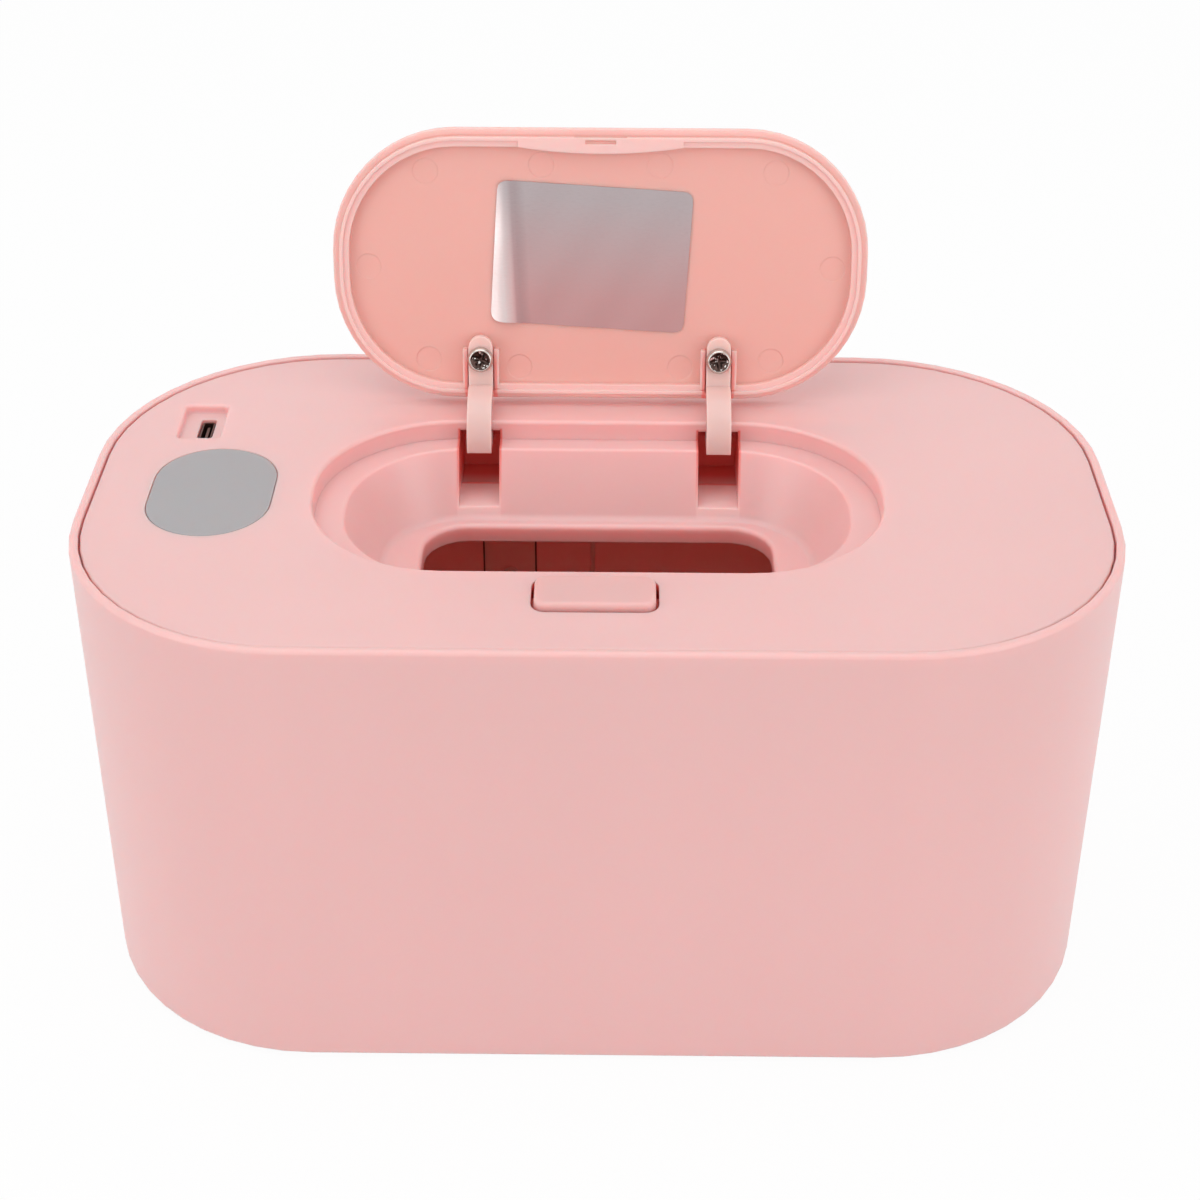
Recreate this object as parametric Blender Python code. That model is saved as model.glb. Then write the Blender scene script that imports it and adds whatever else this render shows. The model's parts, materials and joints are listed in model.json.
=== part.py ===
"""Baby wipe warmer: a rounded tub, a lift-off heated cover with a recessed well, and a sprung lid.

Metres, +Z up, +X to the right of the front, +Y to the back. The origin is on the table, under the tub's
middle. The model rests with its lid open and its cover seated.
"""

import math

import bmesh
import bpy
from mathutils import Matrix, Vector

MM = 0.001

# Tub
body_length = 208.0 * MM
body_depth = 120.4 * MM
body_height = 100.4 * MM
body_draft = 0.4 * MM
top_corner_radius = 47.0 * MM
base_corner_radius = 46.0 * MM
tub_wall = 2.8 * MM
tub_floor = 2.4 * MM
lip_thickness = 1.8 * MM
base_edge_radius = 1.2 * MM
rim_outer_radius = 0.9 * MM
rim_inner_radius = 0.5 * MM
tub_floor_radius = 3.0 * MM

# Marks moulded on the inside of the tub's back wall
back_pad_width = 11.8 * MM
back_pad_x = -21.2 * MM
back_pad_proud = 0.8 * MM
back_pad_bottom = 14.0 * MM
back_pad_below_rim = 27.7 * MM
back_pip_radius = 2.0 * MM
back_pip_proud = 0.8 * MM
back_pip_z = 44.6 * MM
back_rib_x = -1.7 * MM
back_rib_width = 1.0 * MM

# Feet
foot_radius = 6.0 * MM
foot_proud = 0.6 * MM
foot_pocket_depth = 1.0 * MM
foot_from_end = 38.0 * MM
foot_from_side = 26.2 * MM

# Fits between pieces
fit_gap = 0.3 * MM
panel_seam_gap = 0.35 * MM
panel_below_rim = 0.4 * MM

# Cover shell
panel_skin = 2.0 * MM
panel_edge_radius = 0.5 * MM
spigot_wall = 1.8 * MM
spigot_clearance = 0.4 * MM

# Well in the cover that the lid closes
recess_end_land = 46.5 * MM
recess_side_land = 30.3 * MM
recess_centre_y = -1.0 * MM
recess_corner_radius = 28.0 * MM
recess_edge_radius = 0.8 * MM
ledge_depth = 4.3 * MM
ledge_width = 4.6 * MM
ledge_end_extra = 1.8 * MM
ledge_edge_radius = 0.8 * MM
well_depth = 17.7 * MM
well_wall_run = 5.6 * MM
well_floor_radius = 2.2 * MM
well_skin = 1.8 * MM

# Dispensing slot
slot_end_land = 21.0 * MM
slot_side_land = 14.4 * MM
slot_behind_well_middle = 0.6 * MM
slot_corner_radius = 9.0 * MM
slot_edge_radius = 1.1 * MM
slot_collar_wall = 1.6 * MM
slot_collar_depth = 3.9 * MM

# Heater stack under the well floor
film_thickness = 0.4 * MM
heat_plate_thickness = 1.0 * MM
heat_plate_end_overlap = 4.5 * MM
heat_plate_side_overlap = 4.1 * MM
heat_plate_corner_radius = 30.0 * MM
film_inset = 3.0 * MM
heater_slot_clearance = 0.5 * MM
inner_cover_thickness = 1.6 * MM
inner_cover_overlap = 4.0 * MM

# Hinge
hinge_behind_well = 5.0 * MM
hinge_below_rim = 4.9 * MM
lid_open_angle = math.radians(102.0)
shaft_radius = 1.2 * MM
shaft_beyond_arm = 8.0 * MM
shaft_gap = 0.3 * MM
arm_x_share = 25.5 / 57.5
arm_width = 5.2 * MM
arm_outer_reach = 9.8 * MM
arm_thickness = 2.4 * MM
arm_leg_thickness = 2.4 * MM
arm_eye_radius = 2.4 * MM
arm_end_angle = math.radians(286.0)
tab_thickness = 1.6 * MM
tab_face_drop = 0.2 * MM
tab_length = 20.5 * MM
pocket_half_width = 4.3 * MM
pocket_wall = 1.6 * MM
pocket_roof_front = 2.15 * MM
pocket_roof_back = 1.7 * MM
pocket_before_well_edge = 14.4 * MM
pocket_step_behind_well = 0.4 * MM
pocket_behind_well = 9.6 * MM
pocket_floor_below = 15.1 * MM
pocket_step_drop = 0.8 * MM
pocket_mouth_drop = 0.5 * MM
shaft_clip_radius = 2.2 * MM
shaft_clip_thickness = 0.8 * MM
clip_mouth_share = 0.7
collar_radius = 2.2 * MM
collar_length = 3.0 * MM
torsion_coil_radius = 1.85 * MM
torsion_wire_radius = 0.3 * MM
torsion_turns = 5
torsion_pitch = 1.5 * MM
torsion_leg = 4.4 * MM
spring_stop_half_width = 1.6 * MM
spring_stop_thickness = 1.6 * MM

# Lid
lid_end_gap = 0.8 * MM
lid_front_gap = 0.6 * MM
lid_corner_radius = 26.2 * MM
lid_rear_gap = 1.2 * MM
lid_skin = 1.9 * MM
lid_flange = 1.8 * MM
lid_edge_radius = 0.6 * MM
lid_skirt_inset = 1.6 * MM
lid_skirt_wall = 2.0 * MM
lid_skirt_crest = 0.75 * MM
lid_skirt_step = 0.4 * MM
lid_pedestal = 0.9 * MM
lid_rib_wall = 1.0 * MM
lid_rib_length = 7.6 * MM
lid_rib_gap = 0.25 * MM
lid_rib_below_skirt = 0.2 * MM
thumb_chord = 34.4 * MM
thumb_rise = 1.3 * MM
catch_width = 11.0 * MM
catch_depth = 1.1 * MM
catch_lip = 0.6 * MM
catch_roof = 0.1 * MM
catch_slit_width = 6.4 * MM
catch_slit = 0.8 * MM
catch_slit_wall = 0.5 * MM
pin_mark_radius = 2.7 * MM
pin_mark_depth = 0.12 * MM
pin_mark_far_share = 36.6 / 56.5
pin_mark_from_end = 7.5 * MM
pin_mark_near_share = 12.4 / 56.5
pin_mark_rear_share = 17.2 / 56.5
pin_mark_from_front = 9.0 * MM
pin_mark_middle_from_front = 7.6 * MM
pin_mark_from_rear = 8.6 * MM
pin_mark_middle_from_rear = 7.0 * MM

# Foil label
label_length_share = 41.2 / 56.5
label_depth_share = 30.2 / 58.0
label_thickness = 0.15 * MM
label_corner_radius = 2.0 * MM
label_x = -1.9 * MM
label_behind_middle = 2.0 * MM
label_turn = math.radians(3.4)
label_gap = 0.05 * MM

# Lid screws
lid_screw_from_hinge = 15.5 * MM
lid_screw_head_radius = 2.5 * MM
lid_screw_head_height = 1.5 * MM
lid_screw_shank_radius = 0.9 * MM
lid_screw_shank_length = 4.2 * MM

# Release button and latch
button_half_length = 11.5 * MM
button_half_depth = 5.35 * MM
button_corner_radius = 2.2 * MM
button_before_well = 8.8 * MM
button_proud = 1.4 * MM
button_edge_radius = 0.9 * MM
button_gap = 0.6 * MM
button_travel = 2.0 * MM
button_cap_skin = 1.6 * MM
button_wall = 1.2 * MM
button_skirt_depth = 6.2 * MM
button_skirt_inset = 1.0 * MM
button_wing = 1.2 * MM
button_wing_height = 1.3 * MM
latch_travel = 1.5 * MM
latch_half_width = 5.0 * MM
latch_plate = 1.2 * MM
latch_plate_top = 11.1 * MM
latch_tongue = 0.9 * MM
latch_tongue_drop = 2.2 * MM
latch_reach = 2.9 * MM
latch_web = 1.1 * MM
latch_base_beside_button = 1.6 * MM
latch_base_before_button = 3.2 * MM
latch_block_half_width = 4.2 * MM
latch_block_before_button = 1.6 * MM
latch_block_height = 2.6 * MM
latch_hook_slope = 1.4 * MM
wedge_half_width = 2.5 * MM
wedge_thickness = 1.4 * MM
wedge_face_behind_button = 2.2 * MM
wedge_below_block = 1.6 * MM
wedge_bend_below_rim = 6.3 * MM
wedge_root_behind_button = 1.9 * MM
guide_gap = 0.4 * MM
guide_wall = 1.4 * MM
guide_lip = 1.4 * MM
guide_lip_thickness = 0.9 * MM
guide_length = 14.6 * MM
button_spring_x = 7.2 * MM
button_spring_before_button = 0.85 * MM
button_spring_radius = 1.45 * MM
button_spring_wire = 0.25 * MM
button_spring_turns = 4
spring_shelf_half_depth = 1.85 * MM
spring_shelf_x = 4.8 * MM
spring_shelf_thickness = 1.2 * MM

# Display window and charging inlet
window_half_length = 12.4 * MM
window_side_land = 42.7 * MM
window_from_end = 25.9 * MM
window_centre_y = -1.6 * MM
window_pocket = 0.7 * MM
window_gap = 0.2 * MM
window_thickness = 0.45 * MM
display_half_length = 8.5 * MM
display_half_depth = 5.5 * MM
display_height = 5.2 * MM
display_corner_radius = 0.6 * MM
sight_margin = 0.6 * MM
inlet_from_end = 19.4 * MM
inlet_from_back = 32.2 * MM
inlet_half_width = 4.5 * MM
inlet_half_depth = 7.3 * MM
inlet_corner_radius = 1.2 * MM
inlet_edge_radius = 0.7 * MM
inlet_floor_radius = 0.5 * MM
inlet_depth = 1.9 * MM
inlet_pad_skin = 1.5 * MM
inlet_pad_margin = 1.6 * MM
socket_beside_inlet = 0.7 * MM
socket_behind_inlet = 0.1 * MM
socket_half_width = 1.3 * MM
socket_half_depth = 3.75 * MM
socket_shell = 0.3 * MM
socket_corner_radius = 0.6 * MM
socket_gap = 0.35 * MM
socket_below_floor = 0.5 * MM
socket_cavity = 4.4 * MM
tongue_half_width = 0.3 * MM
tongue_half_depth = 2.6 * MM
tongue_short = 0.6 * MM

# Control board and what is on it
board_from_end = 14.0 * MM
board_length = 28.0 * MM
board_low_y = -24.0 * MM
board_from_back = 24.2 * MM
board_corner_radius = 3.0 * MM
board_thickness = 1.6 * MM
board_below_panel = 8.2 * MM
board_boss_radius = 2.6 * MM
board_boss_from_end = 4.0 * MM
board_boss_front_y = -20.0 * MM
board_boss_from_rear = 5.0 * MM
chip_size = 7.0 * MM
chip_height = 1.4 * MM
chip_from_board_end = 14.0 * MM
chip_y = -12.0 * MM
transistor_length = 6.5 * MM
transistor_depth = 9.0 * MM
transistor_height = 2.3 * MM
transistor_from_board_end = 12.0 * MM
transistor_y = 12.0 * MM
capacitor_radius = 2.5 * MM
capacitor_height = 4.6 * MM
capacitor_from_board_start = 5.0 * MM
capacitor_y = -14.0 * MM

# Sensors and leads
fuse_radius = 1.4 * MM
fuse_length = 9.0 * MM
fuse_from_plate_end = 5.4 * MM
fuse_y = 0.0 * MM
thermistor_radius = 0.9 * MM
thermistor_length = 4.0 * MM
thermistor_y = 9.0 * MM
lead_radius = 0.6 * MM
live_lead_y = -13.0 * MM
return_lead_y = -9.0 * MM
sensor_lead_y = 14.0 * MM
lead_from_plate_end = 5.0 * MM
lead_run = 6.0 * MM
lead_end = 2.0 * MM

# Screws that close the cover
cover_boss_radius = 3.5 * MM
cover_screw_from_end = 26.0 * MM
cover_screw_side_land = 16.7 * MM
cover_screw_middle_share = 34.0 / 104.0
cover_screw_middle_land = 11.4 * MM
cover_screw_head_radius = 2.5 * MM
cover_screw_head_height = 1.6 * MM
cover_screw_shank_radius = 1.2 * MM
cover_screw_shank_length = 9.0 * MM
board_screw_shank_length = 5.0 * MM
board_screw_shank_radius = 0.9 * MM
board_screw_head_radius = 2.0 * MM
board_screw_head_height = 1.2 * MM

# Pan head: shares of the head's radius and height, from its seat to its top
pan_head_shares = ((1.0, 0.0), (0.98, 0.5), (0.74, 1.0))
recess_arm_share = 0.56
recess_width_share = 0.14
recess_depth_share = 0.55

# Sensor bead: shares of its radius and length, from end to end
bead_shares = ((0.5, -0.5), (1.0, -0.35), (1.0, 0.35), (0.5, 0.5))

# Detail of the meshes
corner_steps = 12
hidden_corner_steps = 6
small_corner_steps = 4
fillet_steps = 3
round_steps = 24
small_round_steps = 16
hidden_round_steps = 10
coil_points = 8
coil_sides = 4
lead_sides = 6
overrun = 1.0 * MM
short_overrun = 0.25 * MM
weld_distance = 0.0005 * MM

# Heights and outlines that follow from the sizes above
base_z = foot_proud
panel_top_z = body_height - panel_below_rim
panel_under_z = panel_top_z - panel_skin
seat_z = panel_under_z - fit_gap
ledge_z = panel_top_z - ledge_depth
well_floor_z = panel_top_z - well_depth
well_under_z = well_floor_z - well_skin
film_top_z = well_under_z - fit_gap
heat_plate_top_z = film_top_z - film_thickness - fit_gap
inner_cover_top_z = heat_plate_top_z - heat_plate_thickness - fit_gap
inner_cover_under_z = inner_cover_top_z - inner_cover_thickness
body_half_length = body_length / 2
body_half_depth = body_depth / 2
back_pad_top = body_height - back_pad_below_rim
foot_x = body_half_length - foot_from_end
foot_y = body_half_depth - foot_from_side
recess_half_length = body_half_length - recess_end_land
recess_half_depth = body_half_depth - recess_side_land
recess_rear_y = recess_centre_y + recess_half_depth
recess_front_y = recess_centre_y - recess_half_depth
well_floor_inset = ledge_width + well_wall_run
slot_half_length = recess_half_length - slot_end_land
slot_half_depth = recess_half_depth - slot_side_land
slot_centre_y = recess_centre_y + slot_behind_well_middle
heat_plate_half_length = recess_half_length + heat_plate_end_overlap
heat_plate_half_depth = recess_half_depth + heat_plate_side_overlap
flange_inset = lip_thickness + panel_seam_gap
spigot_inset = tub_wall + spigot_clearance
spigot_inner_inset = spigot_inset + spigot_wall
hinge_y = recess_rear_y + hinge_behind_well
hinge_z = body_height - hinge_below_rim
arm_x = recess_half_length * arm_x_share
shaft_half_length = arm_x + shaft_beyond_arm
pocket_front_y = recess_rear_y - pocket_before_well_edge
pocket_step_y = recess_rear_y + pocket_step_behind_well
pocket_back_y = recess_rear_y + pocket_behind_well
lid_half_length = recess_half_length - lid_end_gap
lid_rear_y = recess_rear_y - lid_rear_gap
lid_front_y = recess_front_y + lid_front_gap
lid_depth = lid_rear_y - lid_front_y
lid_skirt_z = ledge_z + fit_gap
lid_under_z = panel_top_z - lid_skin
pin_mark_far_x = lid_half_length * pin_mark_far_share
pin_mark_end_x = lid_half_length - pin_mark_from_end
pin_mark_near_x = lid_half_length * pin_mark_near_share
pin_mark_rear_x = lid_half_length * pin_mark_rear_share
pin_mark_front_y = lid_front_y + pin_mark_from_front
pin_mark_front_middle_y = lid_front_y + pin_mark_middle_from_front
pin_mark_rear_y = lid_rear_y - pin_mark_from_rear
pin_mark_rear_middle_y = lid_rear_y - pin_mark_middle_from_rear
label_length = lid_half_length * label_length_share
label_depth = lid_depth * label_depth_share
label_from_rear = lid_depth / 2 + label_behind_middle
button_centre_y = recess_front_y - button_before_well
latch_base_half_width = button_half_length + latch_base_beside_button
latch_base_front_y = button_centre_y - latch_base_before_button
latch_block_front_y = button_centre_y - latch_block_before_button
wedge_face_y = button_centre_y + wedge_face_behind_button
wedge_root_y = button_centre_y + wedge_root_behind_button
wedge_bend_z = body_height - wedge_bend_below_rim
button_spring_y = button_centre_y - button_spring_before_button
window_half_depth = body_half_depth - window_side_land
window_centre_x = window_from_end - body_half_length
inlet_x = inlet_from_end - body_half_length
inlet_y = body_half_depth - inlet_from_back
socket_x = inlet_x + socket_beside_inlet
socket_y = inlet_y + socket_behind_inlet
board_low_x = board_from_end - body_half_length
board_high_x = board_low_x + board_length
board_high_y = body_half_depth - board_from_back
board_boss_x = board_high_x - board_boss_from_end
board_boss_rear_y = board_high_y - board_boss_from_rear
chip_x = board_high_x - chip_from_board_end
transistor_x = board_high_x - transistor_from_board_end
capacitor_x = board_low_x + capacitor_from_board_start
fuse_x = fuse_from_plate_end - heat_plate_half_length
lead_x = lead_from_plate_end - heat_plate_half_length
cover_screw_side_x = body_half_length - cover_screw_from_end
cover_screw_side_y = body_half_depth - cover_screw_side_land
cover_screw_middle_x = body_half_length * cover_screw_middle_share
cover_screw_middle_y = body_half_depth - cover_screw_middle_land
tab_face_z = hinge_z - tab_face_drop
board_top_z = panel_under_z - board_below_panel + board_thickness
board_under_z = board_top_z - board_thickness
inlet_floor_z = panel_top_z - inlet_depth


def clear_scene():
    for item in list(bpy.data.objects):
        bpy.data.objects.remove(item, do_unlink=True)


def material(name, red, green, blue, roughness, metallic=0.0):
    made = bpy.data.materials.new(name)
    made.use_nodes = True
    shader = made.node_tree.nodes["Principled BSDF"]
    shader.inputs["Base Color"].default_value = (red, green, blue, 1.0)
    shader.inputs["Roughness"].default_value = roughness
    shader.inputs["Metallic"].default_value = metallic
    made.diffuse_color = (red, green, blue, 1.0)
    return made


def make_materials():
    """Linear colours: pink ABS mouldings, pale acetal arms, bright screws and the electrical pieces."""
    return {
        "pink": material("pink_plastic", 0.80, 0.48, 0.45, 0.35),
        "inner": material("inner_pink_plastic", 0.74, 0.40, 0.37, 0.45),
        "arm": material("pale_arm_plastic", 0.80, 0.60, 0.54, 0.40),
        "window": material("grey_window", 0.42, 0.39, 0.40, 0.45),
        "steel": material("bright_steel", 0.70, 0.68, 0.66, 0.25, 1.0),
        "foil": material("silver_foil", 0.45, 0.42, 0.42, 0.40, 0.6),
        "rubber": material("grey_rubber", 0.10, 0.10, 0.10, 0.80),
        "aluminium": material("heat_aluminium", 0.65, 0.65, 0.66, 0.35, 1.0),
        "film": material("heater_film", 0.30, 0.10, 0.02, 0.50),
        "board": material("board_green", 0.02, 0.15, 0.06, 0.50),
        "dark": material("dark_component", 0.02, 0.02, 0.02, 0.40),
        "lead": material("lead_insulation", 0.50, 0.03, 0.02, 0.50),
    }


def rounded_outline(half_x, half_y, radius, centre=(0.0, 0.0), steps=corner_steps):
    """A rounded rectangle, anticlockwise, with the same number of points whatever its size."""
    radius = min(radius, half_x, half_y)
    points = []
    for sign_x, sign_y, start in ((1, 1, 0.0), (-1, 1, 0.5), (-1, -1, 1.0), (1, -1, 1.5)):
        for step in range(steps + 1):
            angle = math.pi * (start + 0.5 * step / steps)
            x = centre[0] + sign_x * (half_x - radius) + radius * math.cos(angle)
            y = centre[1] + sign_y * (half_y - radius) + radius * math.sin(angle)
            points.append((x, y))
    return points


def circle(radius, centre=(0.0, 0.0), steps=round_steps):
    turn = 2 * math.pi / steps
    return [
        (centre[0] + radius * math.cos(turn * step), centre[1] + radius * math.sin(turn * step))
        for step in range(steps)
    ]


def at_height(outline, z):
    return [(x, y, z) for x, y in outline]


def finish_object(name, mesh, paint, carrier=None):
    thing = bpy.data.objects.new(name, mesh)
    bpy.context.scene.collection.objects.link(thing)
    mesh.materials.append(paint)
    mesh.shade_smooth()
    mesh.set_sharp_from_angle(angle=math.radians(30.0))
    if carrier:
        thing.parent = carrier
    return thing


def mesh_from(vertices, faces):
    """A mesh without doubled points, its faces pointing out."""
    build = bmesh.new()
    made = [build.verts.new(point) for point in vertices]
    for face in faces:
        build.faces.new([made[index] for index in face])
    bmesh.ops.remove_doubles(build, verts=build.verts, dist=weld_distance)
    bmesh.ops.recalc_face_normals(build, faces=build.faces)
    mesh = bpy.data.meshes.new("shape")
    build.to_mesh(mesh)
    build.free()
    return mesh


def stack(rings):
    """The closed mesh through rings of equal count, capped at the first and the last."""
    count = len(rings[0])
    vertices = [point for ring in rings for point in ring]
    faces = [list(range(count))[::-1]]
    for level in range(len(rings) - 1):
        low = level * count
        high = low + count
        for index in range(count):
            following = (index + 1) % count
            faces.append((low + index, low + following, high + following, high + index))
    top = (len(rings) - 1) * count
    faces.append(list(range(top, top + count)))
    return mesh_from(vertices, faces)


def prism(outline, low_z, high_z):
    return stack([at_height(outline, low_z), at_height(outline, high_z)])


def side_prism(outline, low_x, high_x):
    """An outline of (y, z) points drawn out along X."""
    return stack([[(x, y, z) for y, z in outline] for x in (low_x, high_x)])


def block(low, high):
    outline = [(low[0], low[1]), (high[0], low[1]), (high[0], high[1]), (low[0], high[1])]
    return prism(outline, low[2], high[2])


def rod_x(radius, low_x, high_x, y, z, steps=small_round_steps):
    return side_prism(circle(radius, (y, z), steps), low_x, high_x)


def tool(mesh):
    thing = bpy.data.objects.new("tool", mesh)
    bpy.context.scene.collection.objects.link(thing)
    return thing


def combine(target, meshes, operation):
    """Joins or cuts the target with each mesh in turn, and keeps the result as its own mesh."""
    for mesh in meshes:
        other = tool(mesh)
        other.parent = target.parent
        change = target.modifiers.new("change", "BOOLEAN")
        change.operation = operation
        change.solver = "EXACT"
        change.object = other
        bpy.context.view_layer.update()
        graph = bpy.context.evaluated_depsgraph_get()
        result = bpy.data.meshes.new_from_object(target.evaluated_get(graph))
        target.modifiers.remove(change)
        target.data = result
        bpy.data.objects.remove(other, do_unlink=True)
    paint = target.data.materials[0] if target.data.materials else None
    target.data.materials.clear()
    if paint:
        target.data.materials.append(paint)
    for face in target.data.polygons:
        face.material_index = 0
    target.data.shade_smooth()
    target.data.set_sharp_from_angle(angle=math.radians(30.0))


def join(target, *meshes):
    combine(target, meshes, "UNION")


def cut(target, *meshes):
    combine(target, meshes, "DIFFERENCE")


def quarter(steps=fillet_steps):
    """Shares of a radius along a quarter round: (sine, cosine) from one face to the next."""
    return [
        (math.sin(0.5 * math.pi * step / steps), math.cos(0.5 * math.pi * step / steps))
        for step in range(steps + 1)
    ]


def tub_ring(inset, z):
    """The tub's outline at a height, drawn in by an inset. Its draft narrows it towards the base."""
    share = (z - base_z) / (body_height - base_z)
    share = min(max(share, 0.0), 1.0)
    drawn_in = body_draft * (1.0 - share) + inset
    radius = base_corner_radius + (top_corner_radius - base_corner_radius) * share - inset
    return at_height(rounded_outline(body_length / 2 - drawn_in, body_depth / 2 - drawn_in, radius), z)


def cover_ring(inset, z):
    """The cover's outline, drawn in from the tub's outer face at its rim."""
    radius = top_corner_radius - inset
    return at_height(rounded_outline(body_length / 2 - inset, body_depth / 2 - inset, radius), z)


def make_tub(paint):
    rings = []
    for sine, cosine in quarter():
        rings.append(tub_ring(base_edge_radius * (1 - sine), base_z + base_edge_radius * (1 - cosine)))
    for sine, cosine in quarter():
        rings.append(
            tub_ring(rim_outer_radius * (1 - cosine), body_height - rim_outer_radius * (1 - sine))
        )
    for sine, cosine in quarter():
        rings.append(
            tub_ring(
                lip_thickness - rim_inner_radius * (1 - sine), body_height - rim_inner_radius * (1 - cosine)
            )
        )
    rings.append(tub_ring(lip_thickness, seat_z))
    rings.append(tub_ring(tub_wall, seat_z))
    floor_z = base_z + tub_floor
    for sine, cosine in quarter():
        inset = tub_wall + tub_floor_radius * (1 - cosine)
        rings.append(tub_ring(inset, floor_z + tub_floor_radius * (1 - sine)))
    tub = finish_object("tub_housing", stack(rings), paint)
    wall_y = body_depth / 2 - tub_wall
    wall_face_y = wall_y - body_draft
    join(
        tub,
        block(
            (back_pad_x - back_pad_width / 2, wall_face_y - back_pad_proud, back_pad_bottom),
            (back_pad_x + back_pad_width / 2, wall_y + tub_wall / 2, back_pad_top),
        ),
        block(
            (back_rib_x - back_rib_width / 2, wall_face_y - back_pad_proud, back_pad_bottom),
            (back_rib_x + back_rib_width / 2, wall_y + tub_wall / 2, back_pad_top),
        ),
    )
    pip = side_prism(circle(back_pip_radius), 0, back_pad_proud + back_pip_proud + tub_wall / 2)
    place = Matrix.Translation((back_pad_x, wall_face_y - back_pad_proud - back_pip_proud, back_pip_z))
    pip.transform(place @ Matrix.Rotation(math.radians(90.0), 4, "Z"))
    join(tub, pip)
    for x, y in foot_places():
        cut(tub, prism(circle(foot_radius + fit_gap, (x, y)), base_z - overrun, base_z + foot_pocket_depth))
    return tub


def foot_places():
    return [(x * foot_x, y * foot_y) for x in (-1, 1) for y in (-1, 1)]


def make_feet(paint):
    top = base_z + foot_pocket_depth - fit_gap
    edge = foot_proud / 2
    for index, place in enumerate(foot_places()):
        rings = [
            at_height(circle(foot_radius - edge, place), 0.0),
            at_height(circle(foot_radius, place), edge),
            at_height(circle(foot_radius, place), top),
        ]
        finish_object("base_foot_%d" % (index + 1), stack(rings), paint)


def well_outline(inset, steps=corner_steps, end_extra=0.0):
    """The recess's outline, drawn in by an inset, and by more than that at its two ends."""
    centre = (0.0, recess_centre_y)
    half_length = recess_half_length - inset - end_extra
    return rounded_outline(
        half_length, recess_half_depth - inset, recess_corner_radius - inset, centre, steps
    )


def slot_outline(grow):
    centre = (0.0, slot_centre_y)
    return rounded_outline(
        slot_half_length + grow,
        slot_half_depth + grow,
        slot_corner_radius + grow,
        centre,
        hidden_corner_steps,
    )


def well_space():
    """The hollow of the well: rounded edge, step, ledge, sloping wall and blended floor."""
    rings = [at_height(well_outline(-recess_edge_radius), panel_top_z + overrun)]
    for sine, cosine in quarter():
        rings.append(
            at_height(
                well_outline(-recess_edge_radius * (1 - sine)),
                panel_top_z - recess_edge_radius * (1 - cosine),
            )
        )
    rings.append(at_height(well_outline(0.0), ledge_z))
    edge_inset = ledge_width - ledge_edge_radius
    for sine, cosine in quarter():
        rings.append(
            at_height(
                well_outline(edge_inset + ledge_edge_radius * sine, end_extra=ledge_end_extra),
                ledge_z - ledge_edge_radius * (1 - cosine),
            )
        )
    for sine, cosine in quarter():
        inset = well_floor_inset + well_floor_radius * (1 - cosine)
        floor_ring = well_outline(inset, end_extra=ledge_end_extra)
        rings.append(at_height(floor_ring, well_floor_z + well_floor_radius * (1 - sine)))
    return stack(rings)


def well_shell():
    """The plastic round the well, before its hollow is cut."""
    inside_panel_z = panel_top_z - panel_skin / 2
    steps = hidden_corner_steps
    ledge_inset = ledge_width - well_skin
    wall_inset = well_floor_inset - well_skin
    floor_inset = wall_inset + well_floor_radius
    return stack(
        [
            at_height(well_outline(-well_skin, steps), inside_panel_z),
            at_height(well_outline(-well_skin, steps), ledge_z - well_skin),
            at_height(well_outline(ledge_inset, steps, ledge_end_extra), ledge_z - well_skin),
            at_height(well_outline(wall_inset, steps, ledge_end_extra), well_floor_z + well_floor_radius),
            at_height(well_outline(floor_inset, steps, ledge_end_extra), well_under_z),
        ]
    )


def slot_space():
    """The slot with its rounded upper edge, cut down through its collar."""
    rings = [at_height(slot_outline(slot_edge_radius), well_floor_z + overrun)]
    for sine, cosine in quarter():
        rings.append(
            at_height(
                slot_outline(slot_edge_radius * (1 - sine)),
                well_floor_z - slot_edge_radius * (1 - cosine),
            )
        )
    rings.append(at_height(slot_outline(0.0), well_floor_z - slot_collar_depth - overrun))
    return stack(rings)


def inlet_recess_space():
    """The recess round the charging inlet, with a rounded upper edge and a small blend at its floor."""

    def ring(grow, z):
        return at_height(
            rounded_outline(
                inlet_half_width + grow,
                inlet_half_depth + grow,
                inlet_corner_radius + grow,
                (inlet_x, inlet_y),
                small_corner_steps,
            ),
            z,
        )

    rings = [ring(inlet_edge_radius, panel_top_z + overrun)]
    for sine, cosine in quarter():
        rings.append(ring(inlet_edge_radius * (1 - sine), panel_top_z - inlet_edge_radius * (1 - cosine)))
    for sine, cosine in quarter():
        rings.append(ring(-inlet_floor_radius * (1 - cosine), inlet_floor_z + inlet_floor_radius * (1 - sine)))
    return stack(rings)


def arm_centres():
    return [("left", -arm_x), ("right", arm_x)]


def pocket_floor_z():
    return panel_top_z - pocket_floor_below


def pocket_shell(x):
    half = pocket_half_width + pocket_wall
    floor_z = pocket_floor_z() - pocket_step_drop - pocket_wall
    inside_panel_z = panel_top_z - panel_skin / 2
    front = recess_rear_y - well_floor_inset
    return block((x - half, front, floor_z), (x + half, pocket_back_y + pocket_wall, inside_panel_z))


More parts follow.
